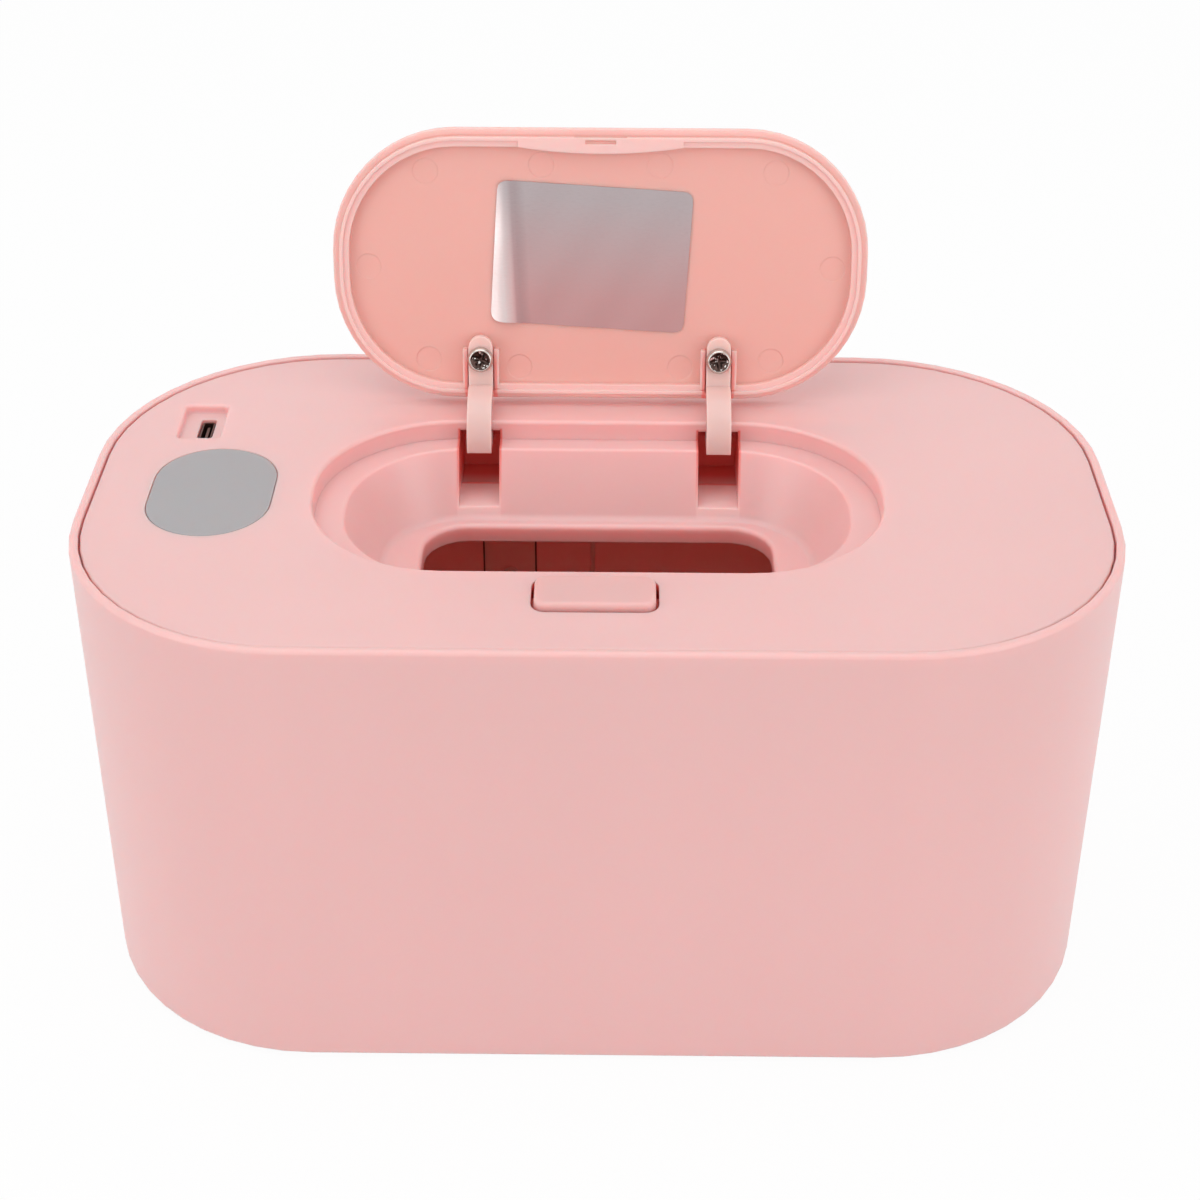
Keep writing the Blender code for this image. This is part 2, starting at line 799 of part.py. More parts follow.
def pocket_spaces(x):
    floor_z = pocket_floor_z()
    low_x = x - pocket_half_width
    high_x = x + pocket_half_width
    lip_back = recess_rear_y + well_skin
    front_y = recess_rear_y - well_floor_inset
    mouth = [
        (pocket_front_y, floor_z - pocket_mouth_drop),
        (front_y - pocket_mouth_drop, floor_z - pocket_mouth_drop),
        (front_y + pocket_mouth_drop, floor_z),
        (pocket_back_y, floor_z),
        (pocket_back_y, panel_top_z - pocket_roof_front),
        (pocket_front_y, panel_top_z - pocket_roof_front),
    ]
    return [
        side_prism(mouth, low_x, high_x),
        block((low_x, pocket_step_y, floor_z - pocket_step_drop), (high_x, pocket_back_y, floor_z + overrun)),
        block((low_x, lip_back, floor_z), (high_x, pocket_back_y, panel_top_z - pocket_roof_back)),
    ]


def cover_screw_places():
    corners = [(x * cover_screw_side_x, y * cover_screw_side_y) for x in (-1, 1) for y in (-1, 1)]
    middles = [(x * cover_screw_middle_x, y * cover_screw_middle_y) for x in (-1, 1) for y in (-1, 1)]
    return corners + middles


def board_boss_places():
    return [(board_boss_x, board_boss_front_y), (board_boss_x, board_boss_rear_y)]


def guide_front_y():
    return recess_front_y - well_skin - guide_length


def latch_base_z():
    """The underside of the latch's sliding plate."""
    return panel_top_z - latch_plate_top - latch_plate


def guide_meshes():
    """Two walls under the button that carry the latch on lips, and the wall its spring pushes on."""
    top_z = panel_top_z - panel_skin / 2
    low_z = latch_base_z() - fit_gap - guide_lip_thickness
    inner = latch_base_half_width + guide_gap
    front_y = guide_front_y()
    rear_y = recess_front_y - well_skin / 2
    meshes = []
    for side in (-1, 1):
        wall = sorted((side * inner, side * (inner + guide_wall)))
        lip = sorted((side * (inner - guide_lip), side * (inner + guide_wall)))
        meshes.append(block((wall[0], front_y, low_z), (wall[1], rear_y, top_z)))
        meshes.append(
            block((lip[0], front_y, low_z), (lip[1], recess_front_y - well_skin, low_z + guide_lip_thickness))
        )
    outer = inner + guide_wall
    meshes.append(block((-outer, front_y - guide_wall, low_z), (outer, front_y, top_z)))
    shelf_low = latch_base_z() + latch_plate + guide_gap
    shelf_front = button_spring_y - spring_shelf_half_depth
    shelf_rear = button_spring_y + spring_shelf_half_depth
    for side in (-1, 1):
        shelf = sorted((side * spring_shelf_x, side * (inner + guide_wall / 2)))
        meshes.append(
            block(
                (shelf[0], shelf_front, shelf_low),
                (shelf[1], shelf_rear, shelf_low + spring_shelf_thickness),
            )
        )
    return meshes


def spring_stop_meshes():
    """A hooked rib under the panel: the torsion spring's fixed leg lies on its shelf."""
    low_x = -torsion_turns * torsion_pitch / 2 - torsion_wire_radius - spring_stop_half_width
    high_x = low_x + 2 * spring_stop_half_width
    rib_y = hinge_y + torsion_coil_radius + torsion_leg + fit_gap
    shelf_z = hinge_z + torsion_coil_radius - torsion_wire_radius - fit_gap
    low_z = shelf_z - spring_stop_thickness
    return [
        block((low_x, rib_y, low_z), (high_x, rib_y + spring_stop_thickness, panel_top_z - panel_skin / 2)),
        block(
            (low_x, rib_y - 1.5 * spring_stop_thickness, low_z),
            (high_x, rib_y + spring_stop_thickness, shelf_z),
        ),
    ]


def make_top_panel(paint):
    rings = []
    for sine, cosine in quarter():
        inset = flange_inset + panel_edge_radius * (1 - sine)
        rings.append(cover_ring(inset, panel_top_z - panel_edge_radius * (1 - cosine)))
    rings.append(cover_ring(flange_inset, panel_under_z))
    rings.append(cover_ring(spigot_inset, panel_under_z))
    rings.append(cover_ring(spigot_inset, inner_cover_under_z))
    rings.append(cover_ring(spigot_inner_inset, inner_cover_under_z))
    rings.append(cover_ring(spigot_inner_inset, panel_under_z))
    panel = finish_object("top_panel", stack(rings), paint)
    inside_panel_z = panel_top_z - panel_skin / 2
    join(panel, well_shell())
    collar_top = well_floor_z - well_skin / 2
    join(panel, prism(slot_outline(slot_collar_wall), well_floor_z - slot_collar_depth, collar_top))
    for _, x in arm_centres():
        join(panel, pocket_shell(x))
    boss_z = inner_cover_top_z + fit_gap
    for place in cover_screw_places():
        join(panel, prism(circle(cover_boss_radius, place, hidden_round_steps), boss_z, inside_panel_z))
    for place in board_boss_places():
        boss = circle(board_boss_radius, place, hidden_round_steps)
        join(panel, prism(boss, board_top_z + fit_gap, inside_panel_z))
    pad = rounded_outline(
        inlet_half_width + inlet_pad_margin,
        inlet_half_depth + inlet_pad_margin,
        inlet_corner_radius,
        (inlet_x, inlet_y),
        small_corner_steps,
    )
    join(panel, prism(pad, inlet_floor_z - inlet_pad_skin, inside_panel_z))
    join(panel, *guide_meshes())
    join(panel, *spring_stop_meshes())
    cut(panel, well_space(), slot_space())
    for _, x in arm_centres():
        cut(panel, *pocket_spaces(x))
    hole_half_length = shaft_half_length + overrun
    cut(panel, rod_x(shaft_radius + shaft_gap, -hole_half_length, hole_half_length, hinge_y, hinge_z))
    for place in cover_screw_places():
        hole = circle(cover_screw_shank_radius + fit_gap, place, hidden_round_steps)
        depth = inner_cover_under_z - fit_gap + cover_screw_shank_length + fit_gap
        cut(panel, prism(hole, boss_z - overrun, depth))
    for place in board_boss_places():
        hole = circle(board_screw_shank_radius + fit_gap, place, hidden_round_steps)
        depth = board_under_z - fit_gap + board_screw_shank_length + fit_gap
        cut(panel, prism(hole, board_top_z - overrun, depth))
    window = rounded_outline(
        window_half_length + window_gap,
        window_half_depth + window_gap,
        window_half_length + window_gap,
        (window_centre_x, window_centre_y),
    )
    cut(panel, prism(window, panel_top_z - window_pocket, panel_top_z + overrun))
    sight = rounded_outline(
        display_half_length - sight_margin,
        display_half_depth - sight_margin,
        display_corner_radius,
        (window_centre_x, window_centre_y),
        small_corner_steps,
    )
    cut(panel, prism(sight, panel_under_z - overrun, panel_top_z))
    cut(panel, inlet_recess_space())
    slot = rounded_outline(
        socket_half_width + socket_gap,
        socket_half_depth + socket_gap,
        socket_corner_radius,
        (socket_x, socket_y),
        small_corner_steps,
    )
    cut(panel, prism(slot, inlet_floor_z - inlet_pad_skin - overrun, panel_top_z))
    button_hole = rounded_outline(
        button_half_length + button_gap,
        button_half_depth + button_gap,
        button_corner_radius + button_gap,
        (0.0, button_centre_y),
        small_corner_steps,
    )
    cut(panel, prism(button_hole, panel_under_z - short_overrun, panel_top_z + overrun))
    window_half = latch_half_width + guide_gap
    cut(
        panel,
        block(
            (-window_half, recess_front_y - well_skin - short_overrun, ledge_z - well_skin - short_overrun),
            (window_half, recess_front_y + fit_gap, panel_top_z - latch_tongue_drop + fit_gap),
        ),
    )
    return panel


def make_heater(paints):
    centre = (0.0, recess_centre_y)
    plate = finish_object(
        "heat_plate",
        prism(
            rounded_outline(
                heat_plate_half_length,
                heat_plate_half_depth,
                heat_plate_corner_radius,
                centre,
                hidden_corner_steps,
            ),
            heat_plate_top_z - heat_plate_thickness,
            heat_plate_top_z,
        ),
        paints["aluminium"],
    )
    film = finish_object(
        "heater_film",
        prism(
            rounded_outline(
                heat_plate_half_length - film_inset,
                heat_plate_half_depth - film_inset,
                heat_plate_corner_radius - film_inset,
                centre,
                hidden_corner_steps,
            ),
            film_top_z - film_thickness,
            film_top_z,
        ),
        paints["film"],
    )
    opening = slot_outline(slot_collar_wall + heater_slot_clearance)
    cut(plate, prism(opening, heat_plate_top_z - heat_plate_thickness - overrun, heat_plate_top_z + overrun))
    cut(film, prism(opening, film_top_z - film_thickness - overrun, film_top_z + overrun))


def make_inner_cover(paint):
    """The tray that closes the cover from below and carries the heat plate's edge."""
    cover = finish_object(
        "inner_cover",
        stack(
            [
                cover_ring(spigot_inner_inset + fit_gap, inner_cover_under_z),
                cover_ring(spigot_inner_inset + fit_gap, inner_cover_top_z),
            ]
        ),
        paint,
    )
    opening = rounded_outline(
        heat_plate_half_length - inner_cover_overlap,
        heat_plate_half_depth - inner_cover_overlap,
        heat_plate_corner_radius - inner_cover_overlap,
        (0.0, recess_centre_y),
        hidden_corner_steps,
    )
    cut(cover, prism(opening, inner_cover_under_z - overrun, inner_cover_top_z + overrun))
    for place in cover_screw_places():
        hole = circle(cover_screw_shank_radius + fit_gap, place, hidden_round_steps)
        cut(cover, prism(hole, inner_cover_under_z - overrun, inner_cover_top_z + overrun))
    return cover


def screw_mesh(sizes, steps):
    """A pan-head screw pointing up, its head's seat at zero."""
    head_radius, head_height, shank_radius, shank_length = sizes
    shank = circle(shank_radius, steps=steps)
    rings = [at_height(shank, shank_length), at_height(shank, 0.0)]
    for radius_share, height_share in pan_head_shares:
        head = circle(head_radius * radius_share, steps=steps)
        rings.append(at_height(head, -head_height * height_share))
    return stack(rings)


def cross_recess(head_radius, head_height):
    arm = head_radius * recess_arm_share
    half = head_radius * recess_width_share
    depth = head_height * recess_depth_share
    low = -head_height - overrun
    return [
        block((-arm, -half, low), (arm, half, -head_height + depth)),
        block((-half, -arm, low), (half, arm, -head_height + depth)),
    ]


def make_screw(name, paint, sizes, place, steps=hidden_round_steps):
    screw = finish_object(name, screw_mesh(sizes, steps), paint)
    cut(screw, *cross_recess(sizes[0], sizes[1]))
    screw.location = place
    return screw


def make_cover_screws(paint):
    sizes = (
        cover_screw_head_radius,
        cover_screw_head_height,
        cover_screw_shank_radius,
        cover_screw_shank_length,
    )
    for index, (x, y) in enumerate(cover_screw_places()):
        place = (x, y, inner_cover_under_z - fit_gap)
        make_screw("cover_screw_%d" % (index + 1), paint, sizes, place)


def make_display_and_board(paints):
    window_z = panel_top_z - window_thickness
    window = rounded_outline(
        window_half_length, window_half_depth, window_half_length, (window_centre_x, window_centre_y)
    )
    finish_object("display_window", prism(window, window_z, panel_top_z), paints["window"])
    board_centre = ((board_low_x + board_high_x) / 2, (board_low_y + board_high_y) / 2)
    outline = rounded_outline(
        (board_high_x - board_low_x) / 2,
        (board_high_y - board_low_y) / 2,
        board_corner_radius,
        board_centre,
        small_corner_steps,
    )
    board = finish_object("control_board", prism(outline, board_under_z, board_top_z), paints["board"])
    for place in board_boss_places():
        hole = circle(board_screw_shank_radius + fit_gap, place, hidden_round_steps)
        cut(board, prism(hole, board_under_z - overrun, board_top_z + overrun))
    on_board = board_top_z + fit_gap
    display = rounded_outline(
        display_half_length,
        display_half_depth,
        display_corner_radius,
        (window_centre_x, window_centre_y),
        small_corner_steps,
    )
    finish_object("display_module", prism(display, on_board, on_board + display_height), paints["dark"])
    can = circle(capacitor_radius, (capacitor_x, capacitor_y), hidden_round_steps)
    finish_object("capacitor", prism(can, on_board, on_board + capacitor_height), paints["aluminium"])
    under_board = board_under_z - fit_gap
    finish_object(
        "control_chip",
        block(
            (chip_x - chip_size / 2, chip_y - chip_size / 2, under_board - chip_height),
            (chip_x + chip_size / 2, chip_y + chip_size / 2, under_board),
        ),
        paints["dark"],
    )
    finish_object(
        "power_transistor",
        block(
            (
                transistor_x - transistor_length / 2,
                transistor_y - transistor_depth / 2,
                under_board - transistor_height,
            ),
            (transistor_x + transistor_length / 2, transistor_y + transistor_depth / 2, under_board),
        ),
        paints["dark"],
    )
    make_socket(paints["steel"], on_board)
    sizes = (
        board_screw_head_radius,
        board_screw_head_height,
        board_screw_shank_radius,
        board_screw_shank_length,
    )
    for index, (x, y) in enumerate(board_boss_places()):
        make_screw("board_screw_%d" % (index + 1), paints["steel"], sizes, (x, y, under_board))


def make_socket(paint, on_board):
    """The upright charging inlet: a metal shell round a contact tongue, its mouth in the panel's slot."""
    mouth_z = inlet_floor_z - socket_below_floor
    centre = (socket_x, socket_y)
    shell = rounded_outline(
        socket_half_width, socket_half_depth, socket_corner_radius, centre, small_corner_steps
    )
    socket = finish_object("charging_socket", prism(shell, on_board, mouth_z), paint)
    space = rounded_outline(
        socket_half_width - socket_shell,
        socket_half_depth - socket_shell,
        socket_corner_radius - socket_shell,
        centre,
        small_corner_steps,
    )
    cut(socket, prism(space, mouth_z - socket_cavity, mouth_z + overrun))
    join(
        socket,
        block(
            (
                socket_x - tongue_half_width,
                socket_y - tongue_half_depth,
                mouth_z - socket_cavity - overrun / 2,
            ),
            (socket_x + tongue_half_width, socket_y + tongue_half_depth, mouth_z - tongue_short),
        ),
    )
    return socket


def swept_tube(points, radius, sides):
    """A closed tube of a few sides along points, with its frames carried smoothly from end to end."""
    points = [Vector(point) for point in points]
    rings = []
    side = None
    for index, point in enumerate(points):
        before = points[max(index - 1, 0)]
        after = points[min(index + 1, len(points) - 1)]
        along = (after - before).normalized()
        if side is None:
            side = along.orthogonal().normalized()
        side = (side - along * side.dot(along)).normalized()
        other = along.cross(side)
        turn = 2 * math.pi / sides
        rings.append(
            [
                tuple(point + radius * (math.cos(turn * k) * side + math.sin(turn * k) * other))
                for k in range(sides)
            ]
        )
    return stack(rings)


def make_leads(paints):
    """Two heater leads and the sensor's lead, from the film's edge up to the board's underside."""
    film_z = film_top_z + lead_radius + fit_gap
    board_z = board_under_z - fit_gap
    leads = (
        ("heater_lead_live", live_lead_y),
        ("heater_lead_return", return_lead_y),
        ("sensor_lead", sensor_lead_y),
    )
    for name, y in leads:
        route = []
        for step in range(coil_points + 1):
            share = step / coil_points
            swing = 0.5 - 0.5 * math.cos(math.pi * share)
            x = lead_x - lead_run * (share + swing) / 2
            route.append((x, y, film_z + (board_z - lead_end - film_z) * swing))
        route.append((lead_x - lead_run, y, board_z))
        finish_object(name, swept_tube(route, lead_radius, lead_sides), paints["lead"])
    fuse_z = film_top_z + fuse_radius + fit_gap
    fuse = prism(circle(fuse_radius, steps=hidden_round_steps), -fuse_length / 2, fuse_length / 2)
    fuse.transform(Matrix.Translation((fuse_x, fuse_y, fuse_z)) @ Matrix.Rotation(math.radians(90.0), 4, "X"))
    finish_object("thermal_fuse", fuse, paints["steel"])
    bead_z = film_top_z + thermistor_radius + fit_gap
    bead = stack(
        [
            at_height(circle(thermistor_radius * width, steps=hidden_round_steps), thermistor_length * reach)
            for width, reach in bead_shares
        ]
    )
    place = Matrix.Translation((fuse_x, thermistor_y, bead_z))
    bead.transform(place @ Matrix.Rotation(math.radians(90.0), 4, "X"))
    finish_object("thermistor", bead, paints["dark"])


def button_outline(shrink, centre_y=button_centre_y):
    return rounded_outline(
        button_half_length - shrink,
        button_half_depth - shrink,
        button_corner_radius - shrink / 2,
        (0.0, centre_y),
        small_corner_steps,
    )


def wedge_slope():
    """How far the latch draws back for each unit that the button goes down."""
    return latch_travel / button_travel


def wedge_y(z):
    """The front face of the button's slanting wedge at a height, with the button up."""
    return wedge_face_y - wedge_slope() * (z - latch_base_z() - latch_plate)


def button_skirt_rear_y():
    web_front_y = recess_front_y - well_skin - guide_gap - latch_web
    return web_front_y - latch_travel - latch_travel


def make_button(paint):
    """A cap in the panel, hollow below, with side wings that stop it and a wedge that draws the latch."""
    top_z = panel_top_z + button_proud
    cap_low_z = panel_under_z - fit_gap
    rings = []
    for sine, cosine in quarter():
        rings.append(
            at_height(
                button_outline(button_edge_radius * (1 - sine)),
                top_z - button_edge_radius * (1 - cosine),
            )
        )
    rings.append(at_height(button_outline(0.0), cap_low_z))
    button = finish_object("release_button", stack(rings), paint)
    rear_y = button_skirt_rear_y()
    front_y = button_centre_y - button_half_depth + button_skirt_inset
    half = button_half_length - button_skirt_inset
    low_z = panel_top_z - button_skirt_depth
    join(button, block((-half, front_y, low_z), (half, rear_y, cap_low_z + overrun)))
    wing_half = button_half_length + button_wing
    join(button, block((-wing_half, front_y, cap_low_z - button_wing_height), (wing_half, rear_y, cap_low_z)))
    ceiling_z = top_z - button_cap_skin
    cut(
        button,
        block(
            (-half + button_wall, front_y + button_wall, low_z - overrun),
            (half - button_wall, rear_y - button_wall, ceiling_z),
        ),
    )
    tip_z = latch_base_z() + latch_plate + latch_block_height - wedge_below_block
    wedge = [
        (wedge_y(tip_z), tip_z),
        (wedge_y(tip_z) + wedge_thickness, tip_z),
        (wedge_y(wedge_bend_z) + wedge_thickness, wedge_bend_z),
        (wedge_root_y, wedge_bend_z),
        (wedge_root_y, ceiling_z + button_cap_skin / 2),
        (wedge_y(wedge_bend_z), ceiling_z + button_cap_skin / 2),
        (wedge_y(wedge_bend_z), wedge_bend_z),
    ]
    join(button, side_prism(wedge, -wedge_half_width, wedge_half_width))
    return button


def make_latch(paint):
    """A slide under the button with a tongue that reaches through the well's wall to the lid's catch."""
    base_low = latch_base_z()
    base_top = base_low + latch_plate
    wall_back = recess_front_y - well_skin
    web_rear = wall_back - guide_gap
    web_front = web_rear - latch_web
    foot_rear = recess_front_y - fit_gap - fit_gap
    foot_front = wall_back + fit_gap / 3
    tongue_top = panel_top_z - latch_tongue_drop
    tongue_low = tongue_top - latch_tongue
    link_top = ledge_z - fit_gap
    link_low = link_top - latch_plate
    tip_y = recess_front_y + latch_reach
    tongue = [
        (tip_y, tongue_low),
        (tip_y, tongue_low + latch_tongue / 3),
        (tip_y - latch_hook_slope, tongue_top),
        (foot_front, tongue_top),
        (foot_front, link_top),
        (web_front, link_top),
        (web_front, base_low),
        (web_rear, base_low),
        (web_rear, link_low),
        (foot_rear, link_low),
        (foot_rear, tongue_low),
    ]
    latch = finish_object("latch_slide", side_prism(tongue, -latch_half_width, latch_half_width), paint)
    inside_web_y = web_front + latch_web / 2
    block_top = base_top + latch_block_height
    join(
        latch,
        block(
            (-latch_base_half_width, latch_base_front_y, base_low),
            (latch_base_half_width, inside_web_y, base_top),
        ),
        block(
            (-latch_block_half_width, latch_block_front_y, base_top - latch_plate / 2),
            (latch_block_half_width, inside_web_y, block_top),
        ),
    )
    gap = fit_gap * math.sqrt(1.0 + wedge_slope() ** 2)
    low_z = base_low - overrun
    high_z = block_top + overrun
    slot = [
        (wedge_y(low_z) - gap, low_z),
        (wedge_y(low_z) + wedge_thickness + gap, low_z),
        (wedge_y(high_z) + wedge_thickness + gap, high_z),
        (wedge_y(high_z) - gap, high_z),
    ]
    cut(latch, side_prism(slot, -wedge_half_width - fit_gap, wedge_half_width + fit_gap))
    return latch


def coil_route(radius, turns, pitch):
    """Points of a coil round +X from zero, starting above its axis and going towards -Y."""
    step = 2 * math.pi / coil_points
    return [
        (pitch * index / coil_points, -radius * math.sin(step * index), radius * math.cos(step * index))
        for index in range(turns * coil_points + 1)
    ]


def make_button_springs(paint):
    """Two coils that stand on the panel's shelves and push the button up."""
    shelf_z = latch_base_z() + latch_plate + guide_gap + spring_shelf_thickness
    low_z = shelf_z + fit_gap + button_spring_wire
    high_z = panel_top_z + button_proud - button_cap_skin - fit_gap - button_spring_wire
    pitch = (high_z - low_z) / button_spring_turns
    for name, side in (("left", -1), ("right", 1)):
        route = coil_route(button_spring_radius, button_spring_turns, pitch)
        mesh = swept_tube(route, button_spring_wire, coil_sides)
        stand = Matrix.Rotation(math.radians(-90.0), 4, "Y")
        mesh.transform(Matrix.Translation((side * button_spring_x, button_spring_y, low_z)) @ stand)
        finish_object("button_spring_" + name, mesh, paint)


def arm_profile():
    """The arm's side view about the hinge axis with the lid shut: (y, z) from the axis."""
    outer = arm_outer_reach
    inner = arm_outer_reach - arm_thickness
    half_leg = arm_leg_thickness / 2
    leg_angle = arm_end_angle - math.asin(half_leg / outer)
    start = math.pi + math.asin(tab_face_drop / outer)
    points = [(-tab_length, -tab_face_drop), (-outer, -tab_face_drop)]
    steps = corner_steps
    for step in range(1, steps + 1):
        angle = start + (arm_end_angle - start) * step / steps
        points.append((outer * math.cos(angle), outer * math.sin(angle)))
    along = Vector((math.cos(leg_angle), math.sin(leg_angle)))
    across = Vector((-along.y, along.x))
    points.append(tuple(across * half_leg))
    points.append(tuple(-across * half_leg))
    inner_end = leg_angle - math.asin(half_leg / inner)
    tab_top = tab_thickness - tab_face_drop
    inner_start = math.pi - math.asin(tab_top / inner)
    for step in range(steps + 1):
        angle = inner_end + (inner_start - inner_end) * step / steps
        points.append((inner * math.cos(angle), inner * math.sin(angle)))
    points.append((-tab_length, tab_top))
    return points


def make_arm(name, x, paint, pivot):
    half = arm_width / 2
    low_x = x - half
    high_x = x + half
    arm = finish_object(name, side_prism(arm_profile(), low_x, high_x), paint, pivot)
    join(arm, side_prism(circle(arm_eye_radius), low_x, high_x))
    eye = circle(shaft_radius + shaft_gap, steps=small_round_steps)
    cut(arm, side_prism(eye, low_x - overrun, high_x + overrun))
    reach = arm_width / 2
    tip = []
    for step in range(small_corner_steps * 2 + 1):
        angle = math.pi * step / (small_corner_steps * 2)
        tip.append((x + reach * math.cos(angle), -tab_length + reach - reach * math.sin(angle)))
    frame = [(low_x - overrun, -tab_length + reach), (low_x - overrun, -tab_length - overrun)]
    frame += [(high_x + overrun, -tab_length - overrun), (high_x + overrun, -tab_length + reach)]
    cut(arm, prism(frame + tip, -tab_thickness * 2, tab_thickness * 2))
    hole = circle(lid_screw_shank_radius + fit_gap, (x, -lid_screw_from_hinge), small_round_steps)
    cut(arm, prism(hole, -tab_thickness * 2, tab_thickness * 2))
    return arm


def lid_outline(inset, z, steps=corner_steps):
    """The lid's outline with the lid shut, from the hinge axis."""
    centre = (0.0, (lid_rear_y + lid_front_y) / 2 - hinge_y)
    radius = lid_corner_radius - inset
    return at_height(
        rounded_outline(lid_half_length - inset, lid_depth / 2 - inset, radius, centre, steps), z - hinge_z
    )


def pin_mark_places():
    """Where the mould's pins touched the lid's underside, from the hinge axis."""
    far = [(x * pin_mark_far_x, y) for x in (-1, 1) for y in (pin_mark_front_y, pin_mark_rear_y)]
    ends = [(x * pin_mark_end_x, recess_centre_y) for x in (-1, 1)]
    near = [(x * pin_mark_near_x, pin_mark_front_middle_y) for x in (-1, 1)]
    rear = [(x * pin_mark_rear_x, pin_mark_rear_middle_y) for x in (-1, 1)]
    return [(x, y - hinge_y) for x, y in far + ends + near + rear]


def lid_rib_meshes(skin_z):
    """Ribs beside each arm and the pads that the arms are screwed to."""
    meshes = []
    rib_z = lid_skirt_z - hinge_z + lid_rib_below_skirt
    skirt_rear = lid_rear_y - hinge_y - lid_skirt_inset
    rib_rear = skirt_rear - lid_skirt_wall / 2
    rib_front = skirt_rear - lid_skirt_wall - lid_rib_length
    half_slot = arm_width / 2 + lid_rib_gap
    for _, x in arm_centres():
        for side in (-1, 1):
            edges = sorted((x + side * half_slot, x + side * (half_slot + lid_rib_wall)))
            meshes.append(block((edges[0], rib_front, rib_z), (edges[1], rib_rear, skin_z)))
        pad = circle(arm_width / 2, (x, -lid_screw_from_hinge), small_round_steps)
        meshes.append(prism(pad, pad_face_z(), skin_z))
    return meshes


def pad_face_z():
    """The face of the lid's screw pads, from the hinge axis."""
    return tab_thickness - tab_face_drop + fit_gap


def thumb_mesh(skin_z):
    """A shallow crescent that thickens the skirt behind the catch."""
    inner_y = lid_front_y - hinge_y + lid_skirt_inset + lid_skirt_wall
    half_chord = thumb_chord / 2
    bow = (half_chord ** 2 + thumb_rise ** 2) / (2 * thumb_rise)
    sweep = math.asin(half_chord / bow)
    outline = []
    for step in range(corner_steps + 1):
        angle = sweep * (1 - 2 * step / corner_steps)
        outline.append((bow * math.sin(angle), inner_y + thumb_rise - bow * (1 - math.cos(angle))))
    root_y = inner_y - lid_skirt_wall + lid_skirt_crest / 2
    outline += [(-half_chord, root_y), (half_chord, root_y)]
    return prism(outline, lid_skirt_z - hinge_z, skin_z)


def lid_cut_meshes():
    """The gaps for the arms, the screw holes, the catch with its slit, and the pins' marks."""
    skirt_z = lid_skirt_z - hinge_z
    skirt_rear = lid_rear_y - hinge_y - lid_skirt_inset
    half_slot = arm_width / 2 + lid_rib_gap
    meshes = []
    for _, x in arm_centres():
        meshes.append(
            block(
                (x - half_slot, skirt_rear - lid_skirt_wall - overrun, skirt_z - overrun),
                (x + half_slot, skirt_rear + short_overrun, pad_face_z()),
            )
        )
        hole = circle(lid_screw_shank_radius + fit_gap, (x, -lid_screw_from_hinge), small_round_steps)
        meshes.append(prism(hole, pad_face_z() - overrun, lid_screw_shank_length - tab_face_drop))
    front_y = lid_front_y - hinge_y + lid_skirt_inset
    flange_z = panel_top_z - lid_flange - hinge_z
    meshes.append(
        block(
            (-catch_width / 2, front_y - overrun, skirt_z + catch_lip),
            (catch_width / 2, front_y + catch_depth, flange_z - catch_roof),
        )
    )
    meshes.append(
        block(
            (-catch_slit_width / 2, front_y + catch_slit_wall, skirt_z - overrun),
            (
                catch_slit_width / 2,
                front_y + catch_slit_wall + catch_slit,
                skirt_z + catch_lip + short_overrun,
            ),
        )
    )
    under_z = lid_under_z - hinge_z
    for place in pin_mark_places():
        mark = circle(pin_mark_radius, place, small_round_steps)
        meshes.append(prism(mark, under_z - short_overrun, under_z + pin_mark_depth))
    return meshes


def make_lid(paint, pivot):
    """A flanged skin with a skirt set in from its edge, made shut and carried by the hinge axis."""
    flange_z = panel_top_z - lid_flange
    skirt_inner = lid_skirt_inset + lid_skirt_wall
    rings = []
    for sine, cosine in quarter():
        inset = lid_edge_radius * (1 - sine)
        rings.append(lid_outline(inset, panel_top_z - lid_edge_radius * (1 - cosine)))
    for sine, cosine in quarter(2):
        rings.append(lid_outline(lid_edge_radius * (1 - cosine), flange_z + lid_edge_radius * (1 - sine)))
    rings.append(lid_outline(lid_skirt_inset, flange_z))
    crest_inner = lid_skirt_inset + lid_skirt_crest
    rings.append(lid_outline(lid_skirt_inset, lid_skirt_z))
    rings.append(lid_outline(crest_inner, lid_skirt_z))
    rings.append(lid_outline(crest_inner, lid_skirt_z + lid_skirt_step))
    rings.append(lid_outline(skirt_inner, lid_skirt_z + lid_skirt_step))
    rings.append(lid_outline(skirt_inner, lid_under_z))
    lid = finish_object("lid_shell", stack(rings), paint, pivot)
    skin_z = lid_under_z + lid_skin / 2 - hinge_z
    join(lid, thumb_mesh(skin_z))
    join(lid, *lid_rib_meshes(skin_z))
    cut(lid, *lid_cut_meshes())
    return lid


def make_label(paint, pivot):
    """A blank foil label, a little askew, under the lid's skin."""
    outline = rounded_outline(
        label_length / 2, label_depth / 2, label_corner_radius, (0.0, 0.0), small_corner_steps
    )
    top = lid_under_z - hinge_z - label_gap
    mesh = prism(outline, top - label_thickness, top)
    place = Matrix.Translation((label_x, lid_rear_y - hinge_y - label_from_rear, 0.0))
    mesh.transform(place @ Matrix.Rotation(label_turn, 4, "Z"))
    return finish_object("foil_label", mesh, paint, pivot)


